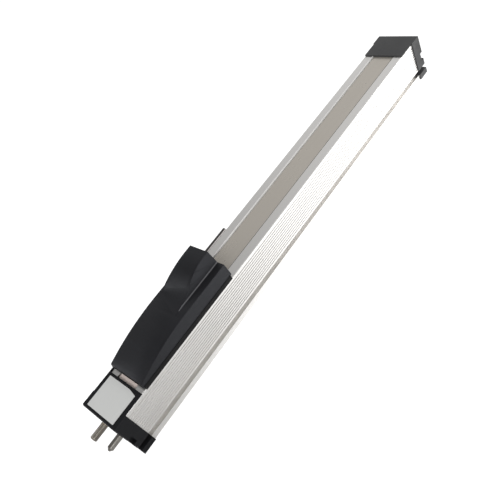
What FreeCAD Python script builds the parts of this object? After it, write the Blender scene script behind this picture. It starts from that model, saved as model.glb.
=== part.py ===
"""Linear position sensor: ribbed profile housing with a captive magnet carriage and drive rod.

Origin at the middle of the base face, +X from the label end to the far end, +Y left, +Z up.
"""

import FreeCAD, Part
import math
import os
from types import SimpleNamespace

import Sketcher

# Driving sizes in mm. Heights are above the base face, "across" is sideways from the middle.
SIZES = {
    "housing_length": 432.0,
    "profile_width": 40.0,
    "profile_height": 39.0,
    "flange_height": 5.1,
    "groove_height": 4.8,
    "groove_depth": 4.5,
    "ridge_chamfer": 0.5,
    "rail_width": 8.7,
    "rail_lip_thickness": 1.6,
    "strip_depth": 0.7,
    "strip_thickness": 0.8,
    "strip_slot_width": 1.2,
    "shoe_channel_height": 2.8,
    "shoe_channel_reach": 2.8,
    "rib_count": 12,
    "rib_pitch": 2.32,
    "rib_groove_depth": 0.45,
    "rib_groove_mouth": 1.1,
    "rib_groove_floor": 0.7,
    "wire_depth": 7.5,
    "wire_channel_radius": 4.5,
    "partition_thickness": 2.0,
    "floor_thickness": 3.2,
    "ledge_height": 12.5,
    "lower_cavity_width": 24.4,
    "upper_cavity_width": 32.4,
    "port_radius": 1.6,
    "upper_port_across": 13.8,
    "upper_port_depth": 9.4,
    "lower_port_across": 9.8,
    "lower_port_height": 5.7,
    "port_wall": 1.4,
    "cap_block_length": 12.4,
    "cap_plate_length": 30.1,
    "cap_plate_thickness": 1.2,
    "cap_proud": 1.0,
    "cap_groove_depth": 3.9,
    "cap_notch_bottom": 15.5,
    "cap_notch_height": 7.5,
    "cap_notch_depth": 3.2,
    "cap_notch_length": 4.0,
    "cap_corner_chamfer": 0.8,
    "cap_lip_drop": 6.0,
    "cap_lip_length": 35.0,
    "cap_lip_proud": 0.5,
    "spigot_length": 5.0,
    "spigot_clearance": 0.3,
    "spigot_wall": 2.4,
    "cap_core_half_width": 4.0,
    "gasket_thickness": 0.8,
    "gasket_inset": 1.5,
    "gasket_rim": 1.6,
    "seat_clearance": 0.1,
    "screw_radius": 1.5,
    "screw_head_radius": 2.9,
    "screw_head_height": 2.0,
    "screw_length": 22.0,
    "screw_socket_across": 2.5,
    "screw_socket_depth": 1.2,
    "label_length": 25.4,
    "label_width": 33.4,
    "label_thickness": 0.2,
    "label_offset": 2.5,
    "label_cut_along": 1.6,
    "label_cut_across": 8.5,
    "stud_radius": 3.0,
    "stud_reach": 14.5,
    "stud_drop": 18.5,
    "stud_across": 9.6,
    "stud_end_chamfer": 1.0,
    "seat_relief": 0.6,
    "seat_step": 0.25,
    "insert_radius": 4.4,
    "insert_length": 9.0,
    "pin_radius": 2.5,
    "pin_reach": 13.0,
    "pin_tip_length": 2.0,
    "pin_tip_radius": 0.7,
    "wire_radius": 0.4,
    "wire_start": 16.0,
    "wire_end_margin": 17.0,
    "tube_radius": 2.0,
    "tube_wall": 0.4,
    "tube_start": 46.0,
    "tube_end_margin": 48.0,
    "holder_count": 5,
    "holder_length": 6.0,
    "bobbin_start": 28.0,
    "bobbin_length": 14.0,
    "bobbin_flange_radius": 3.9,
    "bobbin_flange_thickness": 1.2,
    "bobbin_core_radius": 1.2,
    "coil_radius": 3.3,
    "bias_magnet_length": 6.0,
    "bias_magnet_width": 5.0,
    "bias_magnet_height": 1.6,
    "damper_length": 24.0,
    "damper_radius": 3.6,
    "anchor_length": 8.0,
    "tray_start": 20.0,
    "tray_length": 128.0,
    "tray_thickness": 1.0,
    "tray_wall_height": 5.0,
    "board_thickness": 1.6,
    "board_inset": 3.0,
    "carriage_start": 33.5,
    "carriage_length": 104.5,
    "carriage_gap": 0.4,
    "carriage_plate_thickness": 2.5,
    "carriage_plate_inset": 0.6,
    "carriage_plate_end_inset": 0.8,
    "cover_wall": 2.2,
    "cover_bottom_half_width": 20.0,
    "cover_side_draft": 1.0,
    "cover_shelf_height": 14.3,
    "cover_nose_height": 5.6,
    "cover_nose_lean": 0.9,
    "cover_nose_run": 58.5,
    "cover_shift": 0.2,
    "hump_height": 25.4,
    "hump_foot_right": 11.7,
    "hump_foot_left": 17.3,
    "hump_top_right": 8.3,
    "hump_top_left": 12.2,
    "hump_flat_length": 5.0,
    "hump_run_right": 46.0,
    "hump_run_left": 35.0,
    "hump_turn_right": 22.0,
    "hump_turn_left": 2.5,
    "cover_boss_radius": 3.2,
    "cover_boss_inset": 13.0,
    "cover_screw_radius": 1.4,
    "cover_screw_length": 5.5,
    "cover_screw_head_radius": 2.6,
    "cover_screw_head_height": 1.2,
    "shoe_end_inset": 7.25,
    "shoe_web_thickness": 0.7,
    "shoe_clearance": 0.3,
    "shoe_flange_width": 4.6,
    "shoe_tab_length": 8.0,
    "shoe_tab_width": 2.4,
    "shoe_tab_count": 4,
    "shoe_tab_margin": 8.0,
    "shoe_tab_stake": 0.4,
    "wiper_length": 3.4,
    "wiper_clearance": 0.2,
    "wiper_inset": 0.4,
    "magnet_length": 24.0,
    "magnet_width": 4.0,
    "magnet_height": 5.0,
    "magnet_gap": 2.0,
    "magnet_centre": 52.0,
    "magnet_wall": 1.2,
    "magnet_floor": 0.8,
    "magnet_flange": 3.0,
    "magnet_flange_thickness": 1.2,
    "keeper_thickness": 1.5,
    "rod_radius": 2.5,
    "rod_across": 27.4,
    "rod_drop": 6.6,
    "rod_reach": 39.6,
    "rod_grip": 26.0,
    "rod_end_chamfer": 0.3,
    "clamp_length": 28.0,
    "clamp_end_inset": 4.5,
    "clamp_wall": 2.2,
    "clamp_side_gap": 0.6,
    "clamp_corner_chamfer": 1.2,
    "clamp_wing_overlap": 1.6,
    "clamp_screw_across": 24.8,
    "clamp_screw_radius": 1.5,
    "clamp_screw_length": 3.0,
    "clamp_screw_head_radius": 2.6,
    "clamp_screw_head_height": 1.6,
    "clamp_screw_spacing": 16.0,
    "set_screw_radius": 1.5,
    "set_screw_length": 2.0,
    "set_screw_spacing": 10.0,
    "chip_length": 11.0,
    "chip_width": 8.5,
    "chip_height": 2.0,
    "can_radius": 3.0,
    "can_share": 0.56,
}

doc = FreeCAD.newDocument("position_sensor")
sheet = doc.addObject("Spreadsheet::Sheet", "Sizes")


class Size:
    """A length that carries its number and the sheet formula that gives it."""

    def __init__(self, value, formula):
        self.value = float(value)
        self.formula = formula

    def joined(self, other, sign, result):
        right = other.formula if isinstance(other, Size) else str(other)
        return Size(result, f"({self.formula} {sign} {right})")

    def __add__(self, other):
        return self.joined(other, "+", self.value + plain(other))

    def __sub__(self, other):
        return self.joined(other, "-", self.value - plain(other))

    def __mul__(self, other):
        return self.joined(other, "*", self.value * plain(other))

    def __truediv__(self, other):
        return self.joined(other, "/", self.value / plain(other))

    def __neg__(self):
        return Size(-self.value, f"(0 - {self.formula})")


def plain(size):
    """The number behind a size."""
    return size.value if isinstance(size, Size) else float(size)


def fill_sheet():
    """Write each driving size into the sheet under its own name."""
    named = {}
    for row, (alias, value) in enumerate(SIZES.items(), start=1):
        sheet.set(f"A{row}", alias.replace("_", " "))
        sheet.set(f"B{row}", str(value))
        sheet.setAlias(f"B{row}", alias)
        named[alias] = Size(value, f"Sizes.{alias}")
    doc.recompute()
    return SimpleNamespace(**named)


s = fill_sheet()
ZERO = Size(0.0, "0")
HEAD_SIDES = 12
SHANK_SIDES = 10
SLEEVE_SIDES = 8

# Sizes that follow from the driving ones.
half_width = s.profile_width / 2
extrusion_length = s.housing_length - s.cap_block_length * 2
rail_inner = half_width - s.rail_width
lip_bottom = s.profile_height - s.rail_lip_thickness
strip_top = s.profile_height - s.strip_depth
strip_bottom = strip_top - s.strip_thickness
strip_half = rail_inner - s.strip_slot_width
channel_floor = lip_bottom - s.shoe_channel_height
channel_outer = rail_inner + s.shoe_channel_reach
groove_top = s.flange_height + s.groove_height
wire_height = s.profile_height - s.wire_depth
upper_port_height = s.profile_height - s.upper_port_depth
cavity_top = wire_height - s.wire_channel_radius - s.partition_thickness
cap_half = half_width + s.cap_proud
cap_top = s.profile_height + s.cap_plate_thickness
near_face = -(s.housing_length / 2)
carriage_x = near_face + s.carriage_start
plate_bottom = s.profile_height + s.carriage_gap
plate_top = plate_bottom + s.carriage_plate_thickness
shelf_top = s.profile_height + s.cover_shelf_height
hump_top = s.profile_height + s.hump_height
stud_height = s.profile_height - s.stud_drop
rod_height = s.profile_height - s.rod_drop


def bind(item, path, size):
    """Tie one property of an object to the sheet."""
    item.setExpression(path, size.formula)


def new_body(label, along=ZERO, across=ZERO, up=ZERO):
    """An empty body with its own label, placed by three sizes."""
    body = doc.addObject("PartDesign::Body", label)
    body.Label = label
    for path, size in (("x", along), ("y", across), ("z", up)):
        bind(body, f".Placement.Base.{path}", size)
    return body


def new_sketch(body, name, plane, offset=ZERO):
    """A sketch on one of the body's own origin planes, moved along that plane's normal."""
    drawing = body.newObject("Sketcher::SketchObject", f"{body.Label}_{name}")
    base = [item for item in body.Origin.OriginFeatures if item.Role == plane][0]
    drawing.AttachmentSupport = [(base, "")]
    drawing.MapMode = "FlatFace"
    bind(drawing, ".AttachmentOffset.Base.z", offset)
    return drawing


def vector(point):
    return FreeCAD.Vector(plain(point[0]), plain(point[1]), 0)


def hold(drawing, index, end, point):
    """Hold one end of a line at its two distances from the sketch's origin."""
    for kind, axis, size in (("DistanceX", -2, point[0]), ("DistanceY", -1, point[1])):
        if size is ZERO:
            drawing.addConstraint(Sketcher.Constraint("PointOnObject", index, end, axis))
            continue
        row = drawing.addConstraint(Sketcher.Constraint(kind, -1, 1, index, end, size.value))
        bind(drawing, f"Constraints[{row}]", size)


def outline(drawing, points):
    """A closed outline of straight lines."""
    first = drawing.GeometryCount
    count = len(points)
    for index, point in enumerate(points):
        line = Part.LineSegment(vector(point), vector(points[(index + 1) % count]))
        drawing.addGeometry(line, False)
    for index, point in enumerate(points):
        follower = first + (index + 1) % count
        drawing.addConstraint(Sketcher.Constraint("Coincident", first + index, 2, follower, 1))
        hold(drawing, first + index, 1, point)


def rectangle(drawing, low, high):
    """A rectangle between two opposite corners."""
    outline(drawing, [low, (high[0], low[1]), high, (low[0], high[1])])


def circle(drawing, centre, radius):
    """A circle held at its centre and radius."""
    shape = Part.Circle(vector(centre), FreeCAD.Vector(0, 0, 1), radius.value)
    index = drawing.addGeometry(shape, False)
    hold(drawing, index, 3, centre)
    row = drawing.addConstraint(Sketcher.Constraint("Radius", index, radius.value))
    bind(drawing, f"Constraints[{row}]", radius)


def polygon(drawing, centre, circumradius, sides):
    """A regular polygon with the middle of its first side on the drawing's first axis."""
    points = []
    for number in range(sides):
        turn = math.pi * (2 * number + 1) / sides
        across = centre[0] + circumradius * math.cos(turn)
        up = centre[1] + circumradius * math.sin(turn)
        points.append((across, up))
    outline(drawing, points)


def around(radius):
    """Corner distance of a sleeve bore whose flats clear a round of this radius."""
    return (radius + s.seat_clearance / 2) / math.cos(math.pi / SLEEVE_SIDES)


def mirrored(points):
    """The points of one half followed by their mirror images, back to the start."""
    return points + [(-across, up) for across, up in reversed(points)]


def pad(body, drawing, length):
    """Add material from the sketch along its plane's normal."""
    feature = body.newObject("PartDesign::Pad", f"{drawing.Label}_pad")
    feature.Profile = drawing
    feature.Length = length.value
    bind(feature, "Length", length)
    return feature


def pocket(body, drawing, length):
    """Take material away from the sketch along its plane's normal."""
    feature = body.newObject("PartDesign::Pocket", f"{drawing.Label}_pocket")
    feature.Profile = drawing
    feature.Length = length.value
    feature.Reversed = True
    bind(feature, "Length", length)
    return feature


def turned(body, name, points):
    """Turn a closed half section about the X axis. Each point is distance along and radius."""
    drawing = new_sketch(body, name, "XY_Plane")
    outline(drawing, points)
    feature = body.newObject("PartDesign::Revolution", f"{drawing.Label}_turn")
    feature.Profile = drawing
    feature.ReferenceAxis = (drawing, ["H_Axis"])
    feature.Angle = 360.0
    return feature


def round_edges(body, feature, kind, size, chosen):
    """Round or chamfer the edges of a feature that the test picks."""
    doc.recompute()
    edges = feature.Shape.Edges
    names = [f"Edge{number}" for number, edge in enumerate(edges, start=1) if chosen(edge)]
    finish = body.newObject(f"PartDesign::{kind}", f"{body.Label}_{kind.lower()}")
    finish.Base = (feature, names)
    path = "Radius" if kind == "Fillet" else "Size"
    setattr(finish, path, size.value)
    bind(finish, path, size)
    return finish


def near(value, size):
    """True where a coordinate lies on a size."""
    return abs(value - plain(size)) < 1e-4


def primitive(kind, name, **sizes):
    """One primitive whose properties are tied to the sheet."""
    item = doc.addObject(f"Part::{kind}", name)
    for path, size in sizes.items():
        setattr(item, path, size.value)
        bind(item, path, size)
    return item


def prism(name, sides, circumradius, height):
    """A regular prism tied to the sheet."""
    item = primitive("Prism", name, Circumradius=circumradius, Height=height)
    item.Polygon = sides
    return item


def place(item, along, across, up, axis=None, degrees=0.0):
    """Place an object by three sizes, turned about an axis."""
    if axis is not None:
        turn = FreeCAD.Rotation(FreeCAD.Vector(*axis), degrees)
        item.Placement = FreeCAD.Placement(FreeCAD.Vector(), turn)
    for path, size in (("x", along), ("y", across), ("z", up)):
        bind(item, f".Placement.Base.{path}", size)
    return item


def joined(label, items):
    """One node made of several solids."""
    node = doc.addObject("Part::MultiFuse", label)
    node.Label = label
    node.Shapes = items
    node.Refine = False
    return node


NODES = []


def keep(node):
    """Put a finished sub-part on the list that is written out."""
    NODES.append(node)
    return node


def profile_section():
    """Right half of the profile's outline, from the base up to the land under the strip."""
    return [
        (half_width, ZERO),
        (half_width, s.flange_height),
        (half_width - s.groove_depth, s.flange_height),
        (half_width - s.groove_depth, groove_top),
        (half_width, groove_top),
        (half_width, s.profile_height - s.ridge_chamfer),
        (half_width - s.ridge_chamfer, s.profile_height),
        (rail_inner, s.profile_height),
        (rail_inner, lip_bottom),
        (channel_outer, lip_bottom),
        (channel_outer, channel_floor),
        (strip_half, channel_floor),
        (strip_half, strip_bottom),
    ]


def cavity_section(clearance=ZERO):
    """Half of the cavity: a lower trough between the screw bosses, then the ledge, then the room."""
    lower = s.lower_cavity_width / 2 - clearance
    upper = s.upper_cavity_width / 2 - clearance
    boss_inner = s.lower_port_across - s.port_radius - s.port_wall
    boss_top = s.lower_port_height + s.port_radius + s.port_wall
    return [
        (boss_inner - clearance, s.floor_thickness + clearance),
        (boss_inner - clearance, boss_top + clearance),
        (lower, boss_top + clearance),
        (lower, s.ledge_height + clearance),
        (upper, s.ledge_height + clearance),
        (upper, cavity_top - clearance),
    ]


def port_centres():
    """The four screw ports in the section."""
    high = [(s.upper_port_across, upper_port_height), (-s.upper_port_across, upper_port_height)]
    low = [(s.lower_port_across, s.lower_port_height), (-s.lower_port_across, s.lower_port_height)]
    return high + low


def make_profile():
    """Extruded housing with rails, clamp grooves, cavity, wire channel, screw ports and ribs."""
    body = new_body("profile_extrusion", along=-(extrusion_length / 2))
    section = new_sketch(body, "section", "YZ_Plane")
    outline(section, mirrored(profile_section()))
    pad(body, section, extrusion_length)
    cavity = new_sketch(body, "cavity", "YZ_Plane")
    outline(cavity, mirrored(cavity_section()))
    pocket(body, cavity, extrusion_length)
    bore = new_sketch(body, "wire_bore", "YZ_Plane")
    circle(bore, (ZERO, wire_height), s.wire_channel_radius)
    pocket(body, bore, extrusion_length)
    mouth = new_sketch(body, "wire_mouth", "YZ_Plane")
    low = (-s.wire_channel_radius, wire_height)
    rectangle(mouth, low, (s.wire_channel_radius, strip_bottom + s.strip_thickness))
    pocket(body, mouth, extrusion_length)
    ports = new_sketch(body, "ports", "YZ_Plane")
    for centre in port_centres():
        circle(ports, centre, s.port_radius)
    pocket(body, ports, extrusion_length)
    ribs = new_sketch(body, "rib_grooves", "YZ_Plane")
    first = groove_top + s.rib_pitch
    floor = half_width - s.rib_groove_depth
    wide = s.rib_groove_mouth / 2
    narrow = s.rib_groove_floor / 2
    right = [(floor, first - narrow), (half_width, first - wide), (half_width, first + wide)]
    right.append((floor, first + narrow))
    outline(ribs, right)
    outline(ribs, [(-across, up) for across, up in right])
    groove = pocket(body, ribs, extrusion_length)
    row = body.newObject("PartDesign::LinearPattern", "profile_rib_pattern")
    row.Originals = [groove]
    row.Direction = (ribs, ["V_Axis"])
    row.Length = s.rib_pitch.value * (SIZES["rib_count"] - 2)
    bind(row, "Length", s.rib_pitch * (s.rib_count - 2))
    row.Occurrences = SIZES["rib_count"] - 1
    bind(row, "Occurrences", s.rib_count - 1)
    body.Tip = row
    return keep(body)


def make_strip():
    """Cover strip that closes the wire channel, seated on the land between the two slots."""
    body = new_body("cover_strip", along=-(extrusion_length / 2))
    section = new_sketch(body, "section", "YZ_Plane")
    rectangle(section, (-strip_half, strip_bottom), (strip_half, strip_top))
    pad(body, section, extrusion_length)
    return keep(body)


def cap_section():
    """Half of a cap's outline: the profile's outline standing proud at its sides."""
    groove_inner = cap_half - s.cap_groove_depth
    return [
        (cap_half, ZERO),
        (cap_half, s.flange_height),
        (groove_inner, s.flange_height),
        (groove_inner, groove_top),
        (cap_half, groove_top),
        (cap_half, cap_top),
    ]


def gasket_section(growth=ZERO):
    """Half of the gasket's outline inside the four screws, grown or shrunk by one distance."""
    play = s.seat_clearance * 2
    low_side = s.lower_port_across - s.port_radius - play + growth
    high_side = s.upper_port_across - s.port_radius - play + growth
    wide = half_width - s.gasket_inset + growth
    waist = groove_top + s.gasket_inset / 2 - growth
    shoulder = upper_port_height - s.port_radius - play + growth
    return [
        (low_side, s.gasket_inset - growth),
        (low_side, waist),
        (wide, waist),
        (wide, shoulder),
        (high_side, shoulder),
        (high_side, channel_floor - s.gasket_inset / 2 + growth),
    ]


def make_cap(label, is_front):
    """Moulded end cap: block, top plate, tongue in the strip recess, spigot and screw holes."""
    body = new_body(label, along=near_face if is_front else -near_face)
    if not is_front:
        place(body, -near_face, ZERO, ZERO, (0, 0, 1), 180.0)
    block = new_sketch(body, "block", "YZ_Plane")
    outline(block, mirrored(cap_section()))
    solid = pad(body, block, s.cap_block_length)
    round_edges(
        body,
        solid,
        "Chamfer",
        s.cap_corner_chamfer,
        lambda edge: near(edge.BoundBox.XMax, 0) and near(edge.BoundBox.ZMax, cap_top),
    )
    plate = new_sketch(body, "plate", "YZ_Plane", s.cap_block_length)
    tongue = rail_inner - s.seat_clearance
    half = [
        (tongue, strip_top),
        (tongue, s.profile_height),
        (half_width, s.profile_height),
        (half_width, cap_top),
    ]
    outline(plate, mirrored(half))
    reach = s.cap_plate_length - s.cap_block_length
    pad(body, plate, reach)
    if is_front:
        lip = new_sketch(body, "side_lip", "YZ_Plane", s.cap_block_length)
        low = (half_width, s.profile_height - s.cap_lip_drop)
        rectangle(lip, low, (half_width + s.cap_lip_proud, cap_top))
        pad(body, lip, s.cap_lip_length - s.cap_block_length)
    recess = new_sketch(body, "gasket_seat", "YZ_Plane", s.cap_block_length - s.gasket_thickness)
    outline(recess, mirrored(gasket_section(s.seat_clearance)))
    pocket(body, recess, s.gasket_thickness)
    spigot = new_sketch(body, "spigot", "YZ_Plane", s.cap_block_length - s.gasket_thickness)
    half_spigot = s.upper_cavity_width / 2 - s.spigot_clearance
    bottom = s.ledge_height + s.spigot_clearance
    rectangle(spigot, (-half_spigot, bottom), (half_spigot, cavity_top - s.spigot_clearance))
    pad(body, spigot, s.gasket_thickness + s.spigot_length)
    core = new_sketch(body, "core", "YZ_Plane", s.spigot_wall)
    inner = s.cap_core_half_width
    top = cavity_top - s.spigot_clearance - s.spigot_wall
    rectangle(core, (-inner, bottom + s.spigot_wall), (inner, top))
    pocket(body, core, s.cap_block_length + s.spigot_length)
    notch = new_sketch(body, "notches", "YZ_Plane")
    notch_top = s.cap_notch_bottom + s.cap_notch_height
    deep = cap_half - s.cap_notch_depth
    rectangle(notch, (deep, s.cap_notch_bottom), (cap_half + 1, notch_top))
    rectangle(notch, (-cap_half - 1, s.cap_notch_bottom), (-deep, notch_top))
    pocket(body, notch, s.cap_notch_length)
    holes = new_sketch(body, "screw_holes", "YZ_Plane")
    sinks = new_sketch(body, "head_sinks", "YZ_Plane")
    for centre in port_centres():
        polygon(holes, centre, s.screw_radius + s.seat_clearance, SHANK_SIDES)
        circle(sinks, centre, s.screw_head_radius + s.seat_clearance)
    pocket(body, holes, s.cap_block_length)
    last = pocket(body, sinks, s.screw_head_height)
    if is_front:
        seats = new_sketch(body, "insert_seat", "YZ_Plane")
        circle(seats, (s.stud_across, stud_height), s.insert_radius + s.seat_clearance)
        pocket(body, seats, s.insert_length)
        pin_seat = new_sketch(body, "pin_seat", "YZ_Plane")
        pin_bore = s.pin_radius - s.seat_step + s.seat_clearance
        circle(pin_seat, (-s.stud_across, stud_height), pin_bore)
        last = pocket(body, pin_seat, s.insert_length)
    body.Tip = last
    return keep(body)


def make_gasket(label, is_front):
    """Flat rubber gasket in the cap's seat, a closed rim inside the four screws."""
    start = extrusion_length / 2
    body = new_body(label, along=-start - s.gasket_thickness if is_front else start)
    rim = new_sketch(body, "outline", "YZ_Plane")
    outline(rim, mirrored(gasket_section()))
    pad(body, rim, s.gasket_thickness)
    window = new_sketch(body, "window", "YZ_Plane")
    outline(window, mirrored(gasket_section(-s.gasket_rim)))
    pocket(body, window, s.gasket_thickness)
    return keep(body)


def make_cap_screws(label, is_front):
    """Four socket screws, sunk flush, that hold a cap to the profile's screw ports."""
    facing = (0, 1, 0)
    turn = 90.0 if is_front else -90.0
    shank_x = near_face + s.screw_head_height
    screws = []
    for number, (across, up) in enumerate(port_centres()):
        name = f"{label}_{number}"
        head = prism(f"{name}_head", HEAD_SIDES, s.screw_head_radius, s.screw_head_height)
        shank = prism(f"{name}_shank", SHANK_SIDES, s.screw_radius, s.screw_length)
        socket = prism(f"{name}_socket", 6, s.screw_socket_across / 2, s.screw_socket_depth)
        place(head, near_face if is_front else -near_face, across, up, facing, turn)
        place(shank, shank_x if is_front else -shank_x, across, up, facing, turn)
        place(socket, near_face if is_front else -near_face, across, up, facing, turn)
        fused = doc.addObject("Part::Fuse", f"{name}_blank")
        fused.Base = head
        fused.Tool = shank
        screw = doc.addObject("Part::Cut", name)
        screw.Base = fused
        screw.Tool = socket
        screws.append(screw)
    return keep(joined(label, screws))


def make_label():
    """Blank label on the front cap's plate, one corner cut."""
    body = new_body("type_label", along=near_face + s.label_offset, up=cap_top)
    drawing = new_sketch(body, "outline", "XY_Plane")
    half = s.label_width / 2
    points = [
        (ZERO, -half),
        (s.label_length - s.label_cut_along, -half),
        (s.label_length, -half + s.label_cut_across),
        (s.label_length, half),
        (ZERO, half),
    ]
    outline(drawing, points)
    pad(body, drawing, s.label_thickness)
    return keep(body)


def stepped_shaft(body, reach, inner_end, radius, tip_length, tip_radius):
    """A shaft along -X with a pointed or chamfered end and a slimmer seat inside the cap."""
    seat_radius = radius - s.seat_step
    points = [
        (-reach, ZERO),
        (-reach, tip_radius),
        (-reach + tip_length, radius),
        (-s.seat_relief, radius),
        (-s.seat_relief, seat_radius),
        (inner_end, seat_radius),
        (inner_end, ZERO),
    ]
    return turned(body, "section", points)


def make_stud():
    """Fixing stud with a chamfered end, screwed into the insert."""
    body = new_body("fixing_stud", along=near_face, across=s.stud_across, up=stud_height)
    inner_end = s.insert_length - s.seat_clearance * 5
    cut = s.stud_end_chamfer
    stepped_shaft(body, s.stud_reach, inner_end, s.stud_radius, cut, s.stud_radius - cut)
    return keep(body)


def make_insert():
    """Brass insert moulded into the front cap around the stud."""
    body = new_body("stud_insert", along=near_face, across=s.stud_across, up=stud_height)
    bore = s.stud_radius - s.seat_step + s.seat_clearance / 2
    end = s.insert_length - s.seat_clearance
    turned(body, "section", [(ZERO, bore), (end, bore), (end, s.insert_radius), (ZERO, s.insert_radius)])
    return keep(body)


def make_pin():
    """Smooth locating pin with a pointed end."""
    body = new_body("locating_pin", along=near_face, across=-s.stud_across, up=stud_height)
    end = s.insert_length - s.seat_clearance
    stepped_shaft(body, s.pin_reach, end, s.pin_radius, s.pin_tip_length, s.pin_tip_radius)
    return keep(body)


def make_wire():
    """Waveguide wire along the sensor, from the coil to the anchor."""
    body = new_body("waveguide_wire", along=near_face + s.wire_start, up=wire_height)
    drawing = new_sketch(body, "section", "YZ_Plane")
    circle(drawing, (ZERO, ZERO), s.wire_radius)
    pad(body, drawing, s.housing_length - s.wire_start - s.wire_end_margin)
    return keep(body)


tube_length = s.housing_length - s.tube_start - s.tube_end_margin


def make_tube():
    """Thin tube around the wire."""
    body = new_body("waveguide_tube", along=near_face + s.tube_start, up=wire_height)
    drawing = new_sketch(body, "section", "YZ_Plane")
    circle(drawing, (ZERO, ZERO), s.tube_radius)
    circle(drawing, (ZERO, ZERO), s.tube_radius - s.tube_wall)
    pad(body, drawing, tube_length)
    return keep(body)


def make_holders():
    """Eight-sided elastic sleeves that hold the tube in its channel, evenly spaced."""
    body = new_body("waveguide_holders", along=near_face + s.tube_start, up=wire_height)
    drawing = new_sketch(body, "section", "YZ_Plane")
    reach = s.wire_channel_radius - s.seat_clearance
    polygon(drawing, (ZERO, ZERO), reach, SLEEVE_SIDES)
    polygon(drawing, (ZERO, ZERO), around(s.tube_radius), SLEEVE_SIDES)
    ring = pad(body, drawing, s.holder_length)
    row = body.newObject("PartDesign::LinearPattern", "holder_pattern")
    row.Originals = [ring]
    row.Direction = (drawing, ["N_Axis"])
    row.Length = tube_length.value - s.holder_length.value
    bind(row, "Length", tube_length - s.holder_length)
    row.Occurrences = SIZES["holder_count"]
    bind(row, "Occurrences", s.holder_count)
    body.Tip = row
    return keep(body)


def make_bobbin():
    """Spool around the wire's near end, with eight-sided flanges, that carries the pickup coil."""
    body = new_body("coil_bobbin", along=near_face + s.bobbin_start, up=wire_height)
    flange = s.bobbin_flange_thickness
    far_flange = s.bobbin_length - flange
    steps = [
        ("near_flange", ZERO, s.bobbin_flange_radius, flange),
        ("core", flange, s.bobbin_core_radius, far_flange - flange),
        ("far_flange", far_flange, s.bobbin_flange_radius, flange),
    ]
    for name, start, radius, length in steps:
        drawing = new_sketch(body, name, "YZ_Plane", start)
        polygon(drawing, (ZERO, ZERO), radius, SLEEVE_SIDES)
        pad(body, drawing, length)
    bore = new_sketch(body, "bore", "YZ_Plane")
    polygon(bore, (ZERO, ZERO), around(s.wire_radius), SLEEVE_SIDES)
    pocket(body, bore, s.bobbin_length)
    return keep(body)


def make_coil():
    """Winding on the bobbin."""
    body = new_body("pickup_coil", along=near_face + s.bobbin_start, up=wire_height)
    start = s.bobbin_flange_thickness + s.seat_clearance / 2
    end = s.bobbin_length - s.bobbin_flange_thickness - s.seat_clearance / 2
    inner = s.bobbin_core_radius + s.seat_clearance / 2
    turned(body, "section", [(start, inner), (end, inner), (end, s.coil_radius), (start, s.coil_radius)])
    return keep(body)


def make_box(label, along, across, up, length, width, height):
    """A plain block with its length along X, centred across."""
    body = new_body(label, along=along, across=across, up=up)
    drawing = new_sketch(body, "section", "YZ_Plane")
    rectangle(drawing, (-(width / 2), ZERO), (width / 2, height))
    pad(body, drawing, length)
    return body


def make_bias_magnet():
    """Small bias magnet on the bobbin's flanges, under the strip."""
    start = near_face + s.bobbin_start + s.bobbin_length / 2 - s.bias_magnet_length / 2
    up = wire_height + s.coil_radius + s.seat_clearance
    width = s.bias_magnet_width
    height = s.bias_magnet_height
    return keep(make_box("bias_magnet", start, ZERO, up, s.bias_magnet_length, width, height))


def make_damper():
    """Damping sleeve at the wire's far end."""
    start = near_face + s.tube_start + tube_length + s.seat_clearance
    body = new_body("damping_sleeve", along=start, up=wire_height)
    drawing = new_sketch(body, "section", "YZ_Plane")
    polygon(drawing, (ZERO, ZERO), s.damper_radius, SLEEVE_SIDES)
    polygon(drawing, (ZERO, ZERO), around(s.wire_radius), SLEEVE_SIDES)
    pad(body, drawing, s.damper_length)
    return keep(body)


def make_anchor():
    """Block in the channel that grips the wire's far end."""
    start = near_face + s.tube_start + tube_length + s.damper_length + s.seat_clearance * 2
    body = new_body("wire_anchor", along=start, up=wire_height)
    drawing = new_sketch(body, "section", "YZ_Plane")
    half = (s.wire_channel_radius - s.seat_clearance) * math.cos(math.pi / 4)
    rectangle(drawing, (-half, -half), (half, half))
    polygon(drawing, (ZERO, ZERO), around(s.wire_radius), SLEEVE_SIDES)
    pad(body, drawing, s.anchor_length)
    return keep(body)


tray_x = near_face + s.tray_start
tray_half = s.upper_cavity_width / 2 - s.seat_clearance * 2


def make_tray():
    """Insulating tray that rests on the cavity's ledges and carries the board."""
    body = new_body("board_tray", along=tray_x, up=s.ledge_height)
    drawing = new_sketch(body, "section", "YZ_Plane")
    wall = s.tray_thickness
    half = [
        (tray_half, ZERO),
        (tray_half, s.tray_wall_height),
        (tray_half - wall, s.tray_wall_height),
        (tray_half - wall, wall),
    ]
    outline(drawing, mirrored(half))
    pad(body, drawing, s.tray_length)
    return keep(body)


board_half = tray_half - s.tray_thickness - s.seat_clearance
board_x = tray_x + s.board_inset
board_length = s.tray_length - s.board_inset * 2
board_up = s.ledge_height + s.tray_thickness


def make_board():
    """Circuit board on the tray's floor."""
    thick = s.board_thickness
    return keep(make_box("circuit_board", board_x, ZERO, board_up, board_length, board_half * 2, thick))


# Places on the board, each as a share of its length and of its half width.
CHIP_PLACES = [(0.10, -0.4), (0.26, 0.3), (0.45, -0.35), (0.63, 0.3), (0.80, -0.3)]
CAN_PLACES = [(0.14, 0.65)]


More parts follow.
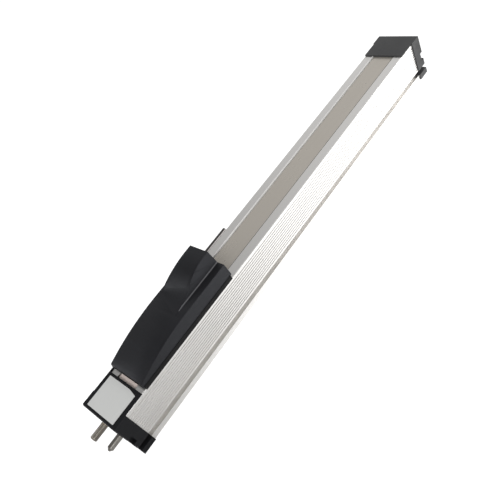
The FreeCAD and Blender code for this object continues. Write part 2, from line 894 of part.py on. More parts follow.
def make_components():
    """Chips and a capacitor can that stand on the board."""
    top = board_up + s.board_thickness
    can_height = (cavity_top - top) * s.can_share
    items = []
    for number, (along, across) in enumerate(CHIP_PLACES):
        chip = primitive(
            "Box", f"board_chip_{number}", Length=s.chip_length, Width=s.chip_width, Height=s.chip_height
        )
        middle = board_half * across
        place(chip, board_x + board_length * along - s.chip_length / 2, middle - s.chip_width / 2, top)
        items.append(chip)
    for number, (along, across) in enumerate(CAN_PLACES):
        can = primitive("Cylinder", f"board_can_{number}", Radius=s.can_radius, Height=can_height)
        place(can, board_x + board_length * along, board_half * across, top)
        items.append(can)
    return keep(joined("board_components", items))


def side_outline(drawing, start, end, nose, lean, top, bottom, run):
    """Side view of the cover: flat foot, leaning nose, long rounded rise and flat top."""
    rise = top - nose
    radius = (run * run + rise * rise) / (rise * 2)
    points = [(start + lean, nose), (start, bottom), (end, bottom), (end, top), (start + lean + run, top)]
    first = drawing.GeometryCount
    for index in range(4):
        line = Part.LineSegment(vector(points[index]), vector(points[index + 1]))
        drawing.addGeometry(line, False)
    centre = FreeCAD.Vector(plain(points[4][0]), plain(top - radius), 0)
    tangent = 90.0
    low = math.degrees(math.atan2(plain(nose) - centre.y, plain(points[0][0]) - centre.x))
    ring = Part.Circle(centre, FreeCAD.Vector(0, 0, 1), plain(radius))
    rise_arc = Part.ArcOfCircle(ring, math.radians(tangent), math.radians(low))
    drawing.addGeometry(rise_arc, False)
    for index in range(4):
        hold(drawing, first + index, 1, points[index])
        drawing.addConstraint(Sketcher.Constraint("Coincident", first + index, 2, first + index + 1, 1))
    hold(drawing, first + 3, 2, points[4])
    drawing.addConstraint(Sketcher.Constraint("Coincident", first + 4, 2, first, 1))
    row = drawing.addConstraint(Sketcher.Constraint("Radius", first + 4, plain(radius)))
    bind(drawing, f"Constraints[{row}]", radius)


def ogee_outline(drawing, foot, end, run, turn, low, floor, top, flat):
    """Side view of the hump: a hollow curve, a rounded curve and a flat top."""
    rise = top - low
    lead = end - flat
    half = math.atan2(plain(rise), plain(run))
    slope = 2 * half
    total = plain(run) / math.sin(slope)
    hollow = plain(turn) / math.sin(slope)
    crown = total - hollow
    start = plain(lead - run)
    hollow_ring = Part.Circle(
        FreeCAD.Vector(start, plain(low) + hollow, 0), FreeCAD.Vector(0, 0, 1), hollow
    )
    crown_ring = Part.Circle(
        FreeCAD.Vector(plain(lead), plain(top) - crown, 0), FreeCAD.Vector(0, 0, 1), crown
    )
    first = drawing.GeometryCount
    quarter = math.pi / 2
    drawing.addGeometry(Part.ArcOfCircle(hollow_ring, -quarter, slope - quarter), False)
    drawing.addGeometry(Part.ArcOfCircle(crown_ring, quarter, quarter + slope), False)
    points = [(lead, top), (end, top), (end, floor), (foot, floor), (foot, low), (lead - run, low)]
    for index in range(5):
        line = Part.LineSegment(vector(points[index]), vector(points[index + 1]))
        drawing.addGeometry(line, False)
    for index in range(2, 6):
        drawing.addConstraint(Sketcher.Constraint("Coincident", first + index, 2, first + index + 1, 1))
    for index, point in enumerate(points):
        if index < 5:
            hold(drawing, first + 2 + index, 1, point)
        else:
            hold(drawing, first + 6, 2, point)
    for one, end_one, other, end_other in ((0, 2, 1, 2), (1, 1, 2, 1), (6, 2, 0, 1)):
        pair = (first + one, end_one, first + other, end_other)
        drawing.addConstraint(Sketcher.Constraint("Tangent", *pair))
    row = drawing.addConstraint(Sketcher.Constraint("DistanceX", first, 1, first, 2, plain(turn)))
    bind(drawing, f"Constraints[{row}]", turn)


def ramp_outline(drawing, foot, end, run, low, floor, top, flat):
    """Side view of the room below the hump: a straight slope and a flat top."""
    lead = end - flat
    outline(drawing, [(lead - run, low), (lead, top), (end, top), (end, floor), (foot, floor), (foot, low)])


def cover_prism(name, start, end, nose, top, bottom, run, half_low, half_high):
    """Rounded wedge, narrowed towards its top by the draft of its side walls."""
    body = doc.addObject("PartDesign::Body", name)
    body.Label = name
    drawing = new_sketch(body, "side", "XZ_Plane", -(half_low))
    side_outline(drawing, start, end, nose, s.cover_nose_lean, top, bottom, run)
    pad(body, drawing, half_low * 2)
    walls = doc.addObject("PartDesign::Body", f"{name}_walls")
    walls.Label = f"{name}_walls"
    section = new_sketch(walls, "section", "YZ_Plane", start)
    outline(section, mirrored([(half_low, bottom), (half_high, top)]))
    pad(walls, section, end - start)
    both = doc.addObject("Part::Common", f"{name}_common")
    both.Base = body
    both.Tool = walls
    return both


def hump_prism(name, end, inset):
    """Raised half: a surface lofted between two side curves, cut by its slanting side walls."""
    top = hump_top - inset
    low = shelf_top - inset
    floor = plate_top - inset
    body = doc.addObject("PartDesign::Body", name)
    body.Label = name
    foot_right = end - s.hump_flat_length - s.hump_run_right - 1
    foot_left = end - s.hump_flat_length - s.hump_run_left - 1
    right = new_sketch(body, "right_curve", "XZ_Plane", s.hump_foot_right)
    left = new_sketch(body, "left_curve", "XZ_Plane", -s.hump_foot_left)
    flat = s.hump_flat_length
    if plain(inset) > 0:
        ramp_outline(right, foot_right, end, s.hump_run_right - inset * 3, low, floor, top, flat)
        ramp_outline(left, foot_left, end, s.hump_run_left - inset * 3, low, floor, top, flat)
    else:
        ogee_outline(right, foot_right, end, s.hump_run_right, s.hump_turn_right, low, floor, top, flat)
        ogee_outline(left, foot_left, end, s.hump_run_left, s.hump_turn_left, low, floor, top, flat)
    loft = body.newObject("PartDesign::AdditiveLoft", f"{name}_loft")
    loft.Profile = right
    loft.Sections = [left]
    loft.Ruled = True
    walls = doc.addObject("PartDesign::Body", f"{name}_walls")
    walls.Label = f"{name}_walls"
    section = new_sketch(walls, "section", "YZ_Plane", foot_right)
    right_foot = -(s.hump_foot_right - inset)
    left_foot = s.hump_foot_left - inset
    points = [
        (right_foot, floor),
        (left_foot, floor),
        (left_foot, low),
        (s.hump_top_left - inset, top),
        (-(s.hump_top_right - inset), top),
        (right_foot, low),
    ]
    outline(section, points)
    pad(walls, section, end - foot_right)
    both = doc.addObject("Part::Common", f"{name}_common")
    both.Base = body
    both.Tool = walls
    return both


def clamp_span():
    """Start and end of the rod clamp along the carriage."""
    end = s.carriage_length - s.clamp_end_inset
    return end - s.clamp_length, end


clamp_inner = half_width + s.clamp_side_gap
clamp_outer = s.rod_across + s.rod_radius + s.clamp_wall
wing_outer = s.rod_across + s.clamp_wing_overlap
web_inner = strip_half + s.strip_slot_width / 2 - s.shoe_web_thickness / 2
web_outer = web_inner + s.shoe_web_thickness
tab_across = web_outer - s.shoe_flange_width / 2


def boss_places():
    """The cover's two screw bosses along the carriage, on its middle line."""
    return [s.cover_boss_inset, s.carriage_length - s.cover_boss_inset]


def tab_places():
    """Start of each of the guide shoe's tabs along the carriage, evenly spaced."""
    first = s.shoe_end_inset + s.shoe_tab_margin
    last = s.carriage_length - first - s.shoe_tab_length
    step = (last - first) / (s.shoe_tab_count - 1)
    return [first + step * number for number in range(SIZES["shoe_tab_count"])]


def holder_size():
    """Outside length and width of the magnet holder's box."""
    length = s.magnet_length + s.magnet_wall * 2
    width = s.magnet_width * 2 + s.magnet_gap + s.magnet_wall * 2
    return length, width


def make_cover():
    """Moulded carriage cover: wedge and hump, hollow below, with two screw bosses."""
    end = s.carriage_length
    half_low = s.cover_bottom_half_width
    half_high = half_low - s.cover_side_draft
    run = s.cover_nose_run
    nose = s.profile_height + s.cover_nose_height
    wall = s.cover_wall
    outer_wedge = cover_prism(
        "cover_wedge", ZERO, end, nose, shelf_top, plate_top, run, half_low, half_high
    )
    outer_hump = hump_prism("cover_hump", end, ZERO)
    outer = doc.addObject("Part::Fuse", "cover_outer")
    outer.Base = outer_wedge
    outer.Tool = outer_hump
    inner_wedge = cover_prism(
        "cover_room",
        wall,
        end - wall,
        nose - wall,
        shelf_top - wall,
        plate_top - 1,
        run - wall,
        half_low - wall,
        half_high - wall,
    )
    inner_hump = hump_prism("cover_hump_room", end - wall, wall)
    inner = doc.addObject("Part::MultiFuse", "cover_inner")
    inner.Shapes = [inner_wedge, inner_hump]
    shell = doc.addObject("Part::Cut", "cover_shell")
    shell.Base = outer
    shell.Tool = inner
    posts = []
    holes = []
    for number, along in enumerate(boss_places()):
        post = primitive(
            "Cylinder",
            f"cover_boss_{number}",
            Radius=s.cover_boss_radius,
            Height=hump_top - plate_top,
        )
        place(post, along, s.cover_shift, plate_top)
        posts.append(post)
        depth = s.cover_screw_length - s.carriage_plate_thickness + s.cover_screw_head_height
        wide = s.cover_screw_radius + s.seat_clearance
        hole = prism(f"cover_pilot_{number}", SHANK_SIDES, wide, depth)
        place(hole, along, s.cover_shift, plate_top)
        holes.append(hole)
    rows = doc.addObject("Part::MultiFuse", "cover_posts")
    rows.Shapes = posts
    bosses = doc.addObject("Part::Common", "cover_bosses")
    bosses.Base = rows
    bosses.Tool = outer
    bossed = doc.addObject("Part::Fuse", "cover_bossed")
    bossed.Base = shell
    bossed.Tool = bosses
    pilots = doc.addObject("Part::MultiFuse", "cover_pilots")
    pilots.Shapes = holes
    cover = doc.addObject("Part::Cut", "carriage_cover")
    cover.Label = "carriage_cover"
    cover.Base = bossed
    cover.Tool = pilots
    place(cover, carriage_x, -s.cover_shift, ZERO)
    return keep(cover)


def make_carriage_plate():
    """Plate under the cover, with a wing over the rod clamp and a window for the magnets."""
    body = new_body("carriage_plate", along=carriage_x, up=plate_bottom)
    drawing = new_sketch(body, "outline", "XY_Plane")
    inset = s.carriage_plate_inset
    right = -(half_width - inset)
    left = half_width - inset - s.cover_shift * 2
    start = s.carriage_plate_end_inset
    end = s.carriage_length - s.carriage_plate_end_inset
    wing_start, wing_end = clamp_span()
    points = [
        (start, right),
        (end, right),
        (end, left),
        (wing_end, left),
        (wing_end, wing_outer),
        (wing_start, wing_outer),
        (wing_start, left),
        (start, left),
    ]
    outline(drawing, points)
    pad(body, drawing, s.carriage_plate_thickness)
    window = new_sketch(body, "window", "XY_Plane")
    length, width = holder_size()
    clear = s.seat_clearance
    low = (s.magnet_centre - length / 2 - clear, -(width / 2) - clear)
    high = (s.magnet_centre + length / 2 + clear, width / 2 + clear)
    rectangle(window, low, high)
    pocket(body, window, s.carriage_plate_thickness)
    holes = new_sketch(body, "holes", "XY_Plane")
    for along in tab_places():
        for across in (tab_across, -tab_across):
            low = (along - clear, across - s.shoe_tab_width / 2 - clear)
            high = (along + s.shoe_tab_length + clear, across + s.shoe_tab_width / 2 + clear)
            rectangle(holes, low, high)
    for along in boss_places():
        polygon(holes, (along, ZERO), s.cover_screw_radius + clear, SHANK_SIDES)
    for along in clamp_screw_places():
        polygon(holes, (along, s.clamp_screw_across), s.clamp_screw_radius + clear, SHANK_SIDES)
    pocket(body, holes, s.carriage_plate_thickness)
    sinks = new_sketch(body, "head_sinks", "XY_Plane")
    for along in boss_places():
        circle(sinks, (along, ZERO), s.cover_screw_head_radius + clear)
    pocket(body, sinks, s.cover_screw_head_height + clear)
    return keep(body)


def make_cover_screws():
    """Two screws from below the plate into the cover's bosses."""
    screws = []
    for number, along in enumerate(boss_places()):
        name = f"cover_screw_{number}"
        low = plate_bottom + s.seat_clearance
        head = prism(f"{name}_head", 6, s.cover_screw_head_radius, s.cover_screw_head_height)
        place(head, carriage_x + along, ZERO, low)
        shank = prism(f"{name}_shank", SHANK_SIDES, s.cover_screw_radius, s.cover_screw_length)
        place(shank, carriage_x + along, ZERO, low)
        screw = doc.addObject("Part::Fuse", name)
        screw.Base = head
        screw.Tool = shank
        screws.append(screw)
    return keep(joined("cover_screws", screws))


def make_shoe(label, side):
    """Guide shoe: tabs through the plate, web through the slot, foot under the rail's lip."""
    body = new_body(label, along=carriage_x)
    section = new_sketch(body, "section", "YZ_Plane", s.shoe_end_inset)
    gap = s.shoe_clearance
    points = [
        (web_outer - s.shoe_flange_width, strip_top + gap),
        (web_inner, strip_top + gap),
        (web_inner, channel_floor + gap),
        (channel_outer - gap, channel_floor + gap),
        (channel_outer - gap, lip_bottom - gap),
        (web_outer, lip_bottom - gap),
        (web_outer, plate_bottom),
        (web_outer - s.shoe_flange_width, plate_bottom),
    ]
    if side < 0:
        points = [(-across, up) for across, up in points]
    outline(section, points)
    pad(body, section, s.carriage_length - s.shoe_end_inset * 2)
    across = tab_across if side > 0 else -tab_across
    tabs = new_sketch(body, "tabs", "XY_Plane", plate_bottom)
    for along in tab_places():
        low = (along, across - s.shoe_tab_width / 2)
        rectangle(tabs, low, (along + s.shoe_tab_length, across + s.shoe_tab_width / 2))
    pad(body, tabs, s.carriage_plate_thickness + s.shoe_tab_stake)
    return keep(body)


def make_wiper(label, start):
    """Felt wiper across the strip, below the plate's end."""
    width = (strip_half - s.wiper_inset) * 2
    up = strip_top + s.wiper_clearance
    return keep(make_box(label, carriage_x + start, ZERO, up, s.wiper_length, width, plate_bottom - up))


holder_bottom = strip_top + s.shoe_clearance
magnet_bottom = holder_bottom + s.magnet_floor
magnet_across = (s.magnet_gap + s.magnet_width) / 2


def make_magnet_holder():
    """Moulded holder through the plate's window, with ears on the plate and two magnet pockets."""
    length, width = holder_size()
    body = new_body("magnet_holder", along=carriage_x + s.magnet_centre)
    tub = new_sketch(body, "tub", "XY_Plane", holder_bottom)
    rectangle(tub, (-(length / 2), -(width / 2)), (length / 2, width / 2))
    pad(body, tub, s.magnet_floor + s.magnet_height)
    ears = new_sketch(body, "ears", "XY_Plane", plate_top)
    reach = length / 2 + s.magnet_flange
    rectangle(ears, (-reach, -(width / 2)), (reach, width / 2))
    pad(body, ears, s.magnet_flange_thickness)
    rooms = new_sketch(body, "rooms", "XY_Plane", magnet_bottom)
    half = s.magnet_length / 2 + s.seat_clearance / 2
    inner = s.magnet_gap / 2 - s.seat_clearance / 2
    outer = s.magnet_gap / 2 + s.magnet_width + s.seat_clearance / 2
    rectangle(rooms, (-half, inner), (half, outer))
    rectangle(rooms, (-half, -outer), (half, -inner))
    pocket(body, rooms, s.magnet_height)
    return keep(body)


def make_magnets():
    """Two position magnets side by side over the wire."""
    magnets = []
    for number, side in enumerate((1, -1)):
        bar = primitive(
            "Box",
            f"magnet_{number}",
            Length=s.magnet_length,
            Width=s.magnet_width,
            Height=s.magnet_height,
        )
        start = carriage_x + s.magnet_centre - s.magnet_length / 2
        place(bar, start, magnet_across * side - s.magnet_width / 2, magnet_bottom)
        magnets.append(bar)
    return keep(joined("position_magnets", magnets))


def make_keeper():
    """Steel keeper that closes the magnets' circuit on top."""
    start = carriage_x + s.magnet_centre - s.magnet_length / 2
    width = s.magnet_gap + s.magnet_width * 2
    up = magnet_bottom + s.magnet_height
    return keep(make_box("magnet_keeper", start, ZERO, up, s.magnet_length, width, s.keeper_thickness))


def clamp_screw_places():
    """The two clamp screws along the carriage."""
    start, end = clamp_span()
    middle = (start + end) / 2
    return [middle - s.clamp_screw_spacing / 2, middle + s.clamp_screw_spacing / 2]


def set_screw_places():
    """The two set screws along the carriage."""
    start, end = clamp_span()
    middle = (start + end) / 2
    return [middle - s.set_screw_spacing / 2, middle + s.set_screw_spacing / 2]


def make_rod_clamp():
    """Block under the plate's wing that grips the drive rod beside the profile."""
    start, end = clamp_span()
    body = new_body("rod_clamp", along=carriage_x)
    section = new_sketch(body, "section", "YZ_Plane", start)
    low = rod_height - s.rod_radius - s.clamp_wall
    cut = s.clamp_corner_chamfer
    points = [
        (clamp_inner, low),
        (clamp_outer - cut, low),
        (clamp_outer, low + cut),
        (clamp_outer, plate_bottom - cut),
        (clamp_outer - cut, plate_bottom),
        (clamp_inner, plate_bottom),
    ]
    outline(section, points)
    bore = s.rod_radius - s.seat_step + s.seat_clearance / 2
    circle(section, (s.rod_across, rod_height), bore)
    pad(body, section, s.clamp_length)
    taps = new_sketch(body, "taps", "XY_Plane", plate_bottom - s.clamp_screw_length)
    tap = s.clamp_screw_radius + s.seat_clearance
    for along in clamp_screw_places():
        polygon(taps, (along, s.clamp_screw_across), tap, SHANK_SIDES)
    pocket(body, taps, s.clamp_screw_length)
    sides = new_sketch(body, "side_taps", "XZ_Plane", -(clamp_outer))
    side_tap = s.set_screw_radius + s.seat_clearance
    for along in set_screw_places():
        polygon(sides, (along, rod_height), side_tap, SHANK_SIDES)
    pocket(body, sides, s.clamp_wall + s.rod_radius)
    return keep(body)


def make_clamp_screws():
    """Two screws from the wing's top into the clamp."""
    screws = []
    for number, along in enumerate(clamp_screw_places()):
        name = f"clamp_screw_{number}"
        head = prism(f"{name}_head", 6, s.clamp_screw_head_radius, s.clamp_screw_head_height)
        reach = s.clamp_screw_length + s.carriage_plate_thickness
        shank = prism(f"{name}_shank", SHANK_SIDES, s.clamp_screw_radius, reach)
        place(head, carriage_x + along, s.clamp_screw_across, plate_top)
        place(shank, carriage_x + along, s.clamp_screw_across, plate_bottom - s.clamp_screw_length)
        screw = doc.addObject("Part::Fuse", name)
        screw.Base = head
        screw.Tool = shank
        screws.append(screw)
    return keep(joined("clamp_screws", screws))


def make_set_screws():
    """Two set screws that press on the rod from the clamp's outer side."""
    screws = []
    for number, along in enumerate(set_screw_places()):
        pin = prism(f"rod_set_screw_{number}", SHANK_SIDES, s.set_screw_radius, s.set_screw_length)
        seat = s.rod_across + s.rod_radius - s.seat_step + s.seat_clearance / 2
        place(pin, carriage_x + along, seat, rod_height, (1, 0, 0), -90.0)
        screws.append(pin)
    return keep(joined("rod_set_screws", screws))


def make_rod():
    """Polished drive rod, held in the clamp and free beyond the carriage's far end."""
    span = s.rod_grip + s.clamp_end_inset + s.rod_reach
    start = s.carriage_length - s.clamp_end_inset - s.rod_grip
    body = new_body("drive_rod", along=carriage_x + start, across=s.rod_across, up=rod_height)
    chamfer = s.rod_end_chamfer
    seat_radius = s.rod_radius - s.seat_step
    points = [
        (ZERO, ZERO),
        (ZERO, seat_radius),
        (s.rod_grip + s.seat_relief, seat_radius),
        (s.rod_grip + s.seat_relief, s.rod_radius),
        (span - chamfer, s.rod_radius),
        (span, s.rod_radius - chamfer),
        (span, ZERO),
    ]
    turned(body, "section", points)
    return keep(body)


for make in (make_profile, make_strip, make_label, make_stud, make_insert, make_pin):
    make()
make_cap("front_end_cap", True)
make_cap("rear_end_cap", False)
make_gasket("front_gasket", True)
make_gasket("rear_gasket", False)
make_cap_screws("front_cap_screws", True)
make_cap_screws("rear_cap_screws", False)
for make in (make_wire, make_tube, make_holders, make_bobbin, make_coil, make_bias_magnet):
    make()
for make in (make_damper, make_anchor, make_tray, make_board, make_components):
    make()
for make in (make_cover, make_carriage_plate, make_cover_screws):
    make()
make_shoe("left_guide_shoe", 1)
make_shoe("right_guide_shoe", -1)
make_wiper("front_wiper", s.carriage_plate_end_inset)
make_wiper("rear_wiper", s.carriage_length - s.carriage_plate_end_inset - s.wiper_length)
for make in (make_magnet_holder, make_magnets, make_keeper, make_rod_clamp):
    make()
for make in (make_clamp_screws, make_set_screws, make_rod):
    make()


def check_document():
    """Stop if any object failed, cut nothing, or left a sub-part without a sound solid."""
    doc.recompute()
    for item in doc.Objects:
        if "Invalid" in item.State or "Error" in item.State:
            raise RuntimeError(f"{item.Name} failed: {item.State} {item.getStatusString()}")
        if item.TypeId == "PartDesign::Pocket" and item.BaseFeature is not None:
            if item.BaseFeature.Shape.Volume - item.Shape.Volume < 1e-3:
                raise RuntimeError(f"{item.Name} cuts nothing")
    for node in NODES:
        if node.Shape.isNull() or not node.Shape.isValid() or not node.Shape.Solids:
            raise RuntimeError(f"{node.Label} has no sound solid")


check_document()
os.makedirs("parts", exist_ok=True)
for node in NODES:
    node.Shape.exportStep(f"parts/{node.Label}.step")
    print(node.Label, len(node.Shape.Solids), round(node.Shape.Volume, 1))
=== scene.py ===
# %% [markdown]
# # A linear position sensor, finished in Blender
#
# The object is a straight sensor about 45 cm long. A ribbed aluminium profile lies on its flat
# foot, black moulded caps close both ends, and a black carriage slides along the top over a thin
# metal strip. The solids come from the CAD model with every size settled, so this lesson is about
# light, camera and finish. One unit is one metre. +X runs from the label end to the far end, +Y
# to the left and +Z up.

# %% Load the solids
import math

import bpy
from mathutils import Matrix, Vector


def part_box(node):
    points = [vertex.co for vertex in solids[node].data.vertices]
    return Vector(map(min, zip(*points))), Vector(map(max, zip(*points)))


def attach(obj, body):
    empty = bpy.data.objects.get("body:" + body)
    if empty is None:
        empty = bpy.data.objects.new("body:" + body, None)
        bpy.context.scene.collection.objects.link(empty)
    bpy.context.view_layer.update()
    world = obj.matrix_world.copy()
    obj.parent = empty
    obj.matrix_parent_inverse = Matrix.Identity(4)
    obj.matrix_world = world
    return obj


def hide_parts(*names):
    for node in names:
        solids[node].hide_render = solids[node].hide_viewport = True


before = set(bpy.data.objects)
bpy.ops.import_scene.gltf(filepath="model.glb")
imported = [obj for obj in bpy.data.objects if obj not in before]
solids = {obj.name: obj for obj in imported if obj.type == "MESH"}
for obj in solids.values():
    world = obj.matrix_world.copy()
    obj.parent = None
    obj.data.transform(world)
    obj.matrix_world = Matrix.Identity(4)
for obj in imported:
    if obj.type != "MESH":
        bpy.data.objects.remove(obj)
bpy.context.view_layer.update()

# %% [markdown]
# ## The viewpoint
#
# The photograph looks down on the sensor from its right, with the label end close to the lens and
# the camera rolled, so that the housing climbs to the upper right. Such a view is easiest to give
# as three directions: what points right in the picture, what points down, and what points away
# from the viewer. They are the columns of the camera's matrix, the last two turned round.

# %% Camera
PICTURE_RIGHT = Vector((0.57839952, -0.70138523, -0.41654862))
PICTURE_DOWN = Vector((-0.74278783, -0.24173648, -0.62436345))
VIEW_AHEAD = Vector((0.3372243, 0.67053877, -0.66080068))
CAMERA_SPOT = Vector((-0.20098, -0.31127, 0.33555))
FOCAL_LENGTH = 42.04
FILM_WIDTH = 36.0
LENS_SHIFT = (-0.0037, 0.0031)
NEAREST_SEEN = 0.01


def add_camera():
    """A camera whose axes are the three picture directions."""
    lens = bpy.data.cameras.new("sensor_camera")
    lens.lens = FOCAL_LENGTH
    lens.sensor_width = FILM_WIDTH
    lens.shift_x, lens.shift_y = LENS_SHIFT
    lens.clip_start = NEAREST_SEEN
    camera = bpy.data.objects.new("sensor_camera", lens)
    bpy.context.collection.objects.link(camera)
    columns = Matrix((PICTURE_RIGHT, -PICTURE_DOWN, -VIEW_AHEAD)).transposed()
    camera.matrix_world = Matrix.Translation(CAMERA_SPOT) @ columns.to_4x4()
    bpy.context.scene.camera = camera
    return camera


camera = add_camera()
print("camera at", [round(v, 3) for v in camera.location], "lens", FOCAL_LENGTH, "mm")

# %% [markdown]
# ## Helpers for node trees
#
# The tent, the table and every finish are built from the same few nodes: a sum, a range mapped on
# to another, the coordinates of a point. One function for each keeps the later cells short. A
# value may be a number, which is typed into the socket, or another node's output, which is linked.

# %% Node helpers
def feed(tree, value, socket):
    """Gives a socket a number or another node's output."""
    if isinstance(value, (int, float)):
        socket.default_value = value
    else:
        tree.links.new(value, socket)


def calculation(tree, operation, *values):
    """One sum of numbers and outputs."""
    node = tree.nodes.new("ShaderNodeMath")
    node.operation = operation
    for socket, value in zip(node.inputs, values):
        feed(tree, value, socket)
    return node.outputs[0]


def spread(tree, value, low, high, start=0.0, end=1.0):
    """Maps start to end on to low to high, and holds still beyond both."""
    node = tree.nodes.new("ShaderNodeMapRange")
    given = {"Value": value, "From Min": start, "From Max": end, "To Min": low, "To Max": high}
    for label, number in given.items():
        feed(tree, number, node.inputs[label])
    return node.outputs["Result"]


def own_place(tree, kind="Object"):
    """Where a point lies on its own piece. For a world, Generated is the direction looked in."""
    return tree.nodes.new("ShaderNodeTexCoord").outputs[kind]


def coordinates(tree, place):
    """The outputs X, Y and Z of a place."""
    axes = tree.nodes.new("ShaderNodeSeparateXYZ")
    tree.links.new(place, axes.inputs["Vector"])
    return axes.outputs


print("node helpers ready")

# %% [markdown]
# ## White surroundings
#
# The sensor stands in a white light tent. Brushed and anodised metal has hardly any colour of its
# own: it shows what is round it. So the world is white where the camera looks straight at it,
# and dimmer where it only lights the object. In reflections it climbs from dim to two thirds
# bright along X, which makes the near rails darker than the far ones, as in the photograph.

# %% World
AMBIENT_LEVEL = 0.45
MIRRORED_NEAR = 0.23
MIRRORED_FAR = 0.68
TENT_CLIMB = (-0.05, 0.6)


def light_tent():
    """A world that looks white, with its own levels for reflections and for lighting."""
    world = bpy.data.worlds.new("light_tent")
    world.use_nodes = True
    bpy.context.scene.world = world
    tree = world.node_tree
    background = tree.nodes["Background"]
    background.inputs["Color"].default_value = (1.0, 1.0, 1.0, 1.0)
    rays = tree.nodes.new("ShaderNodeLightPath").outputs
    along = coordinates(tree, own_place(tree, "Generated"))["X"]
    climb = spread(tree, along, MIRRORED_NEAR, MIRRORED_FAR, *TENT_CLIMB)
    unseen = spread(tree, rays["Is Glossy Ray"], AMBIENT_LEVEL, climb)
    level = spread(tree, rays["Is Camera Ray"], unseen, 1.0)
    tree.links.new(level, background.inputs["Strength"])
    return world


tent = light_tent()
bpy.context.scene.view_settings.view_transform = "Standard"
print("world", tent.name, "ambient", AMBIENT_LEVEL, "mirrored", MIRRORED_NEAR, "to", MIRRORED_FAR)

# %% [markdown]
# ## Soft boxes
#
# Three soft boxes shape the object. The key stands on the right of the label end and lights the
# top and the ribbed wall. A low one stands beyond the far end. A weak one on the left opens the
# shadows. Where a lamp stands matters as much as its power: from higher up, the near edges would
# mirror the key into the camera as white lines.

# %% Lamps
SOFT_BOXES = {
    "key_box": ((-0.9, -1.15, 1.0), (0.0, 0.0, 0.02), 0.9, 15.0),
    "far_box": ((1.3, -0.3, 0.7), (0.12, 0.0, 0.02), 0.7, 8.0),
    "left_box": ((-1.1, 0.8, 0.8), (0.0, 0.0, 0.02), 0.9, 5.0),
}


def add_soft_box(name, spot, target, side, watts):
    """A square area lamp that faces a point of the sensor."""
    lamp = bpy.data.lights.new(name, "AREA")
    lamp.size = side
    lamp.energy = watts
    box = bpy.data.objects.new(name, lamp)
    bpy.context.collection.objects.link(box)
    aim = Vector(target) - Vector(spot)
    box.location = spot
    box.rotation_euler = aim.to_track_quat("-Z", "Y").to_euler()
    return box


for name, (spot, target, side, watts) in SOFT_BOXES.items():
    add_soft_box(name, spot, target, side, watts)
print("soft boxes", len(SOFT_BOXES))

# %% [markdown]
# ## The table
#
# The sensor lies on a pale table: one large flat face just below the foot of the housing. A piece
# that the solids don't hold is a mesh of corner points and faces, and one function makes it. The
# table belongs to the stage and not to the object.

# %% Table
TABLE_REACH = 8.0
TABLE_DROP = 0.0003


def add_piece(name, points, faces):
    """A new object from its corner points and faces."""
    mesh = bpy.data.meshes.new(name)
    mesh.from_pydata(points, [], faces)
    piece = bpy.data.objects.new(name, mesh)
    bpy.context.collection.objects.link(piece)
    return piece


corner_signs = ((-1, -1), (1, -1), (1, 1), (-1, 1))
corners = [(x * TABLE_REACH, y * TABLE_REACH, 0) for x, y in corner_signs]
table = add_piece("table", corners, [(0, 1, 2, 3)])
table.location.z = -TABLE_DROP
print("table", table.name, "reaches", TABLE_REACH, "m")

# %% [markdown]
# ### Its paint
#
# To the camera the table is nearly as white as the tent, but it still catches the shadow, so the
# shader adds a little light of its own for those rays only. The ribbed wall is a mirror for the
# table beside it: in the photograph it is grey at the label end and runs up to white at the far
# end. So in reflections the table brightens along X too.

# %% Table paint
TABLE_GREY = (0.66, 0.66, 0.66)
TABLE_GLOW = 0.66
MIRRORED_TABLE = 1.5
TABLE_CLIMB = (-0.19, 0.12)


def new_material(name):
    """A material, its node tree and its surface shader."""
    material = bpy.data.materials.new(name)
    material.use_nodes = True
    return material, material.node_tree, material.node_tree.nodes["Principled BSDF"]


def table_paint():
    """Matt light grey, lifted to white where the camera looks straight at it."""
    paint, tree, surface = new_material("table_paint")
    surface.inputs["Base Color"].default_value = (*TABLE_GREY, 1.0)
    surface.inputs["Roughness"].default_value = 0.9
    surface.inputs["Emission Color"].default_value = (1.0, 1.0, 1.0, 1.0)
    rays = tree.nodes.new("ShaderNodeLightPath").outputs
    along = coordinates(tree, own_place(tree))["X"]
    climb = spread(tree, along, 0.0, MIRRORED_TABLE, *TABLE_CLIMB)
    mirrored = calculation(tree, "MULTIPLY", rays["Is Glossy Ray"], climb)
    glow = calculation(tree, "MULTIPLY_ADD", rays["Is Camera Ray"], TABLE_GLOW, mirrored)
    tree.links.new(glow, surface.inputs["Emission Strength"])
    return paint


table.data.materials.append(table_paint())
print("paint", table.data.materials[0].name, "glow", TABLE_GLOW)

# %% [markdown]
# ## Building blocks for the finishes
#
# Several finishes share an effect: lines from the extrusion die, the fine grain of a spark-eroded
# mould, the cloudy unevenness that handling leaves. Each effect is one node group with named
# sockets, so that every material places it with its own values.

# %% Group helper
def new_effect(name, inputs, outputs):
    """An empty node group. Inputs are names with default values, outputs are names."""
    group = bpy.data.node_groups.new(name, "ShaderNodeTree")
    for label, value in inputs.items():
        kind = "NodeSocketVector" if label == "Vector" else "NodeSocketFloat"
        socket = group.interface.new_socket(name=label, in_out="INPUT", socket_type=kind)
        if kind == "NodeSocketFloat":
            socket.default_value = value
    for label in outputs:
        group.interface.new_socket(name=label, in_out="OUTPUT", socket_type="NodeSocketFloat")
    entry = group.nodes.new("NodeGroupInput")
    leave = group.nodes.new("NodeGroupOutput")
    return group, entry.outputs, leave.inputs


def stretched(tree, place, along, across):
    """The place with its own scale along the housing and across it."""
    grid = tree.nodes.new("ShaderNodeVectorMath")
    grid.operation = "MULTIPLY"
    grid.inputs[1].default_value = (along, across, across)
    tree.links.new(place, grid.inputs[0])
    return grid.outputs["Vector"]


def noise(tree, place, scale, detail):
    """Soft random values."""
    cloud = tree.nodes.new("ShaderNodeTexNoise")
    cloud.inputs["Detail"].default_value = detail
    tree.links.new(place, cloud.inputs["Vector"])
    feed(tree, scale, cloud.inputs["Scale"])
    return cloud.outputs["Fac"]


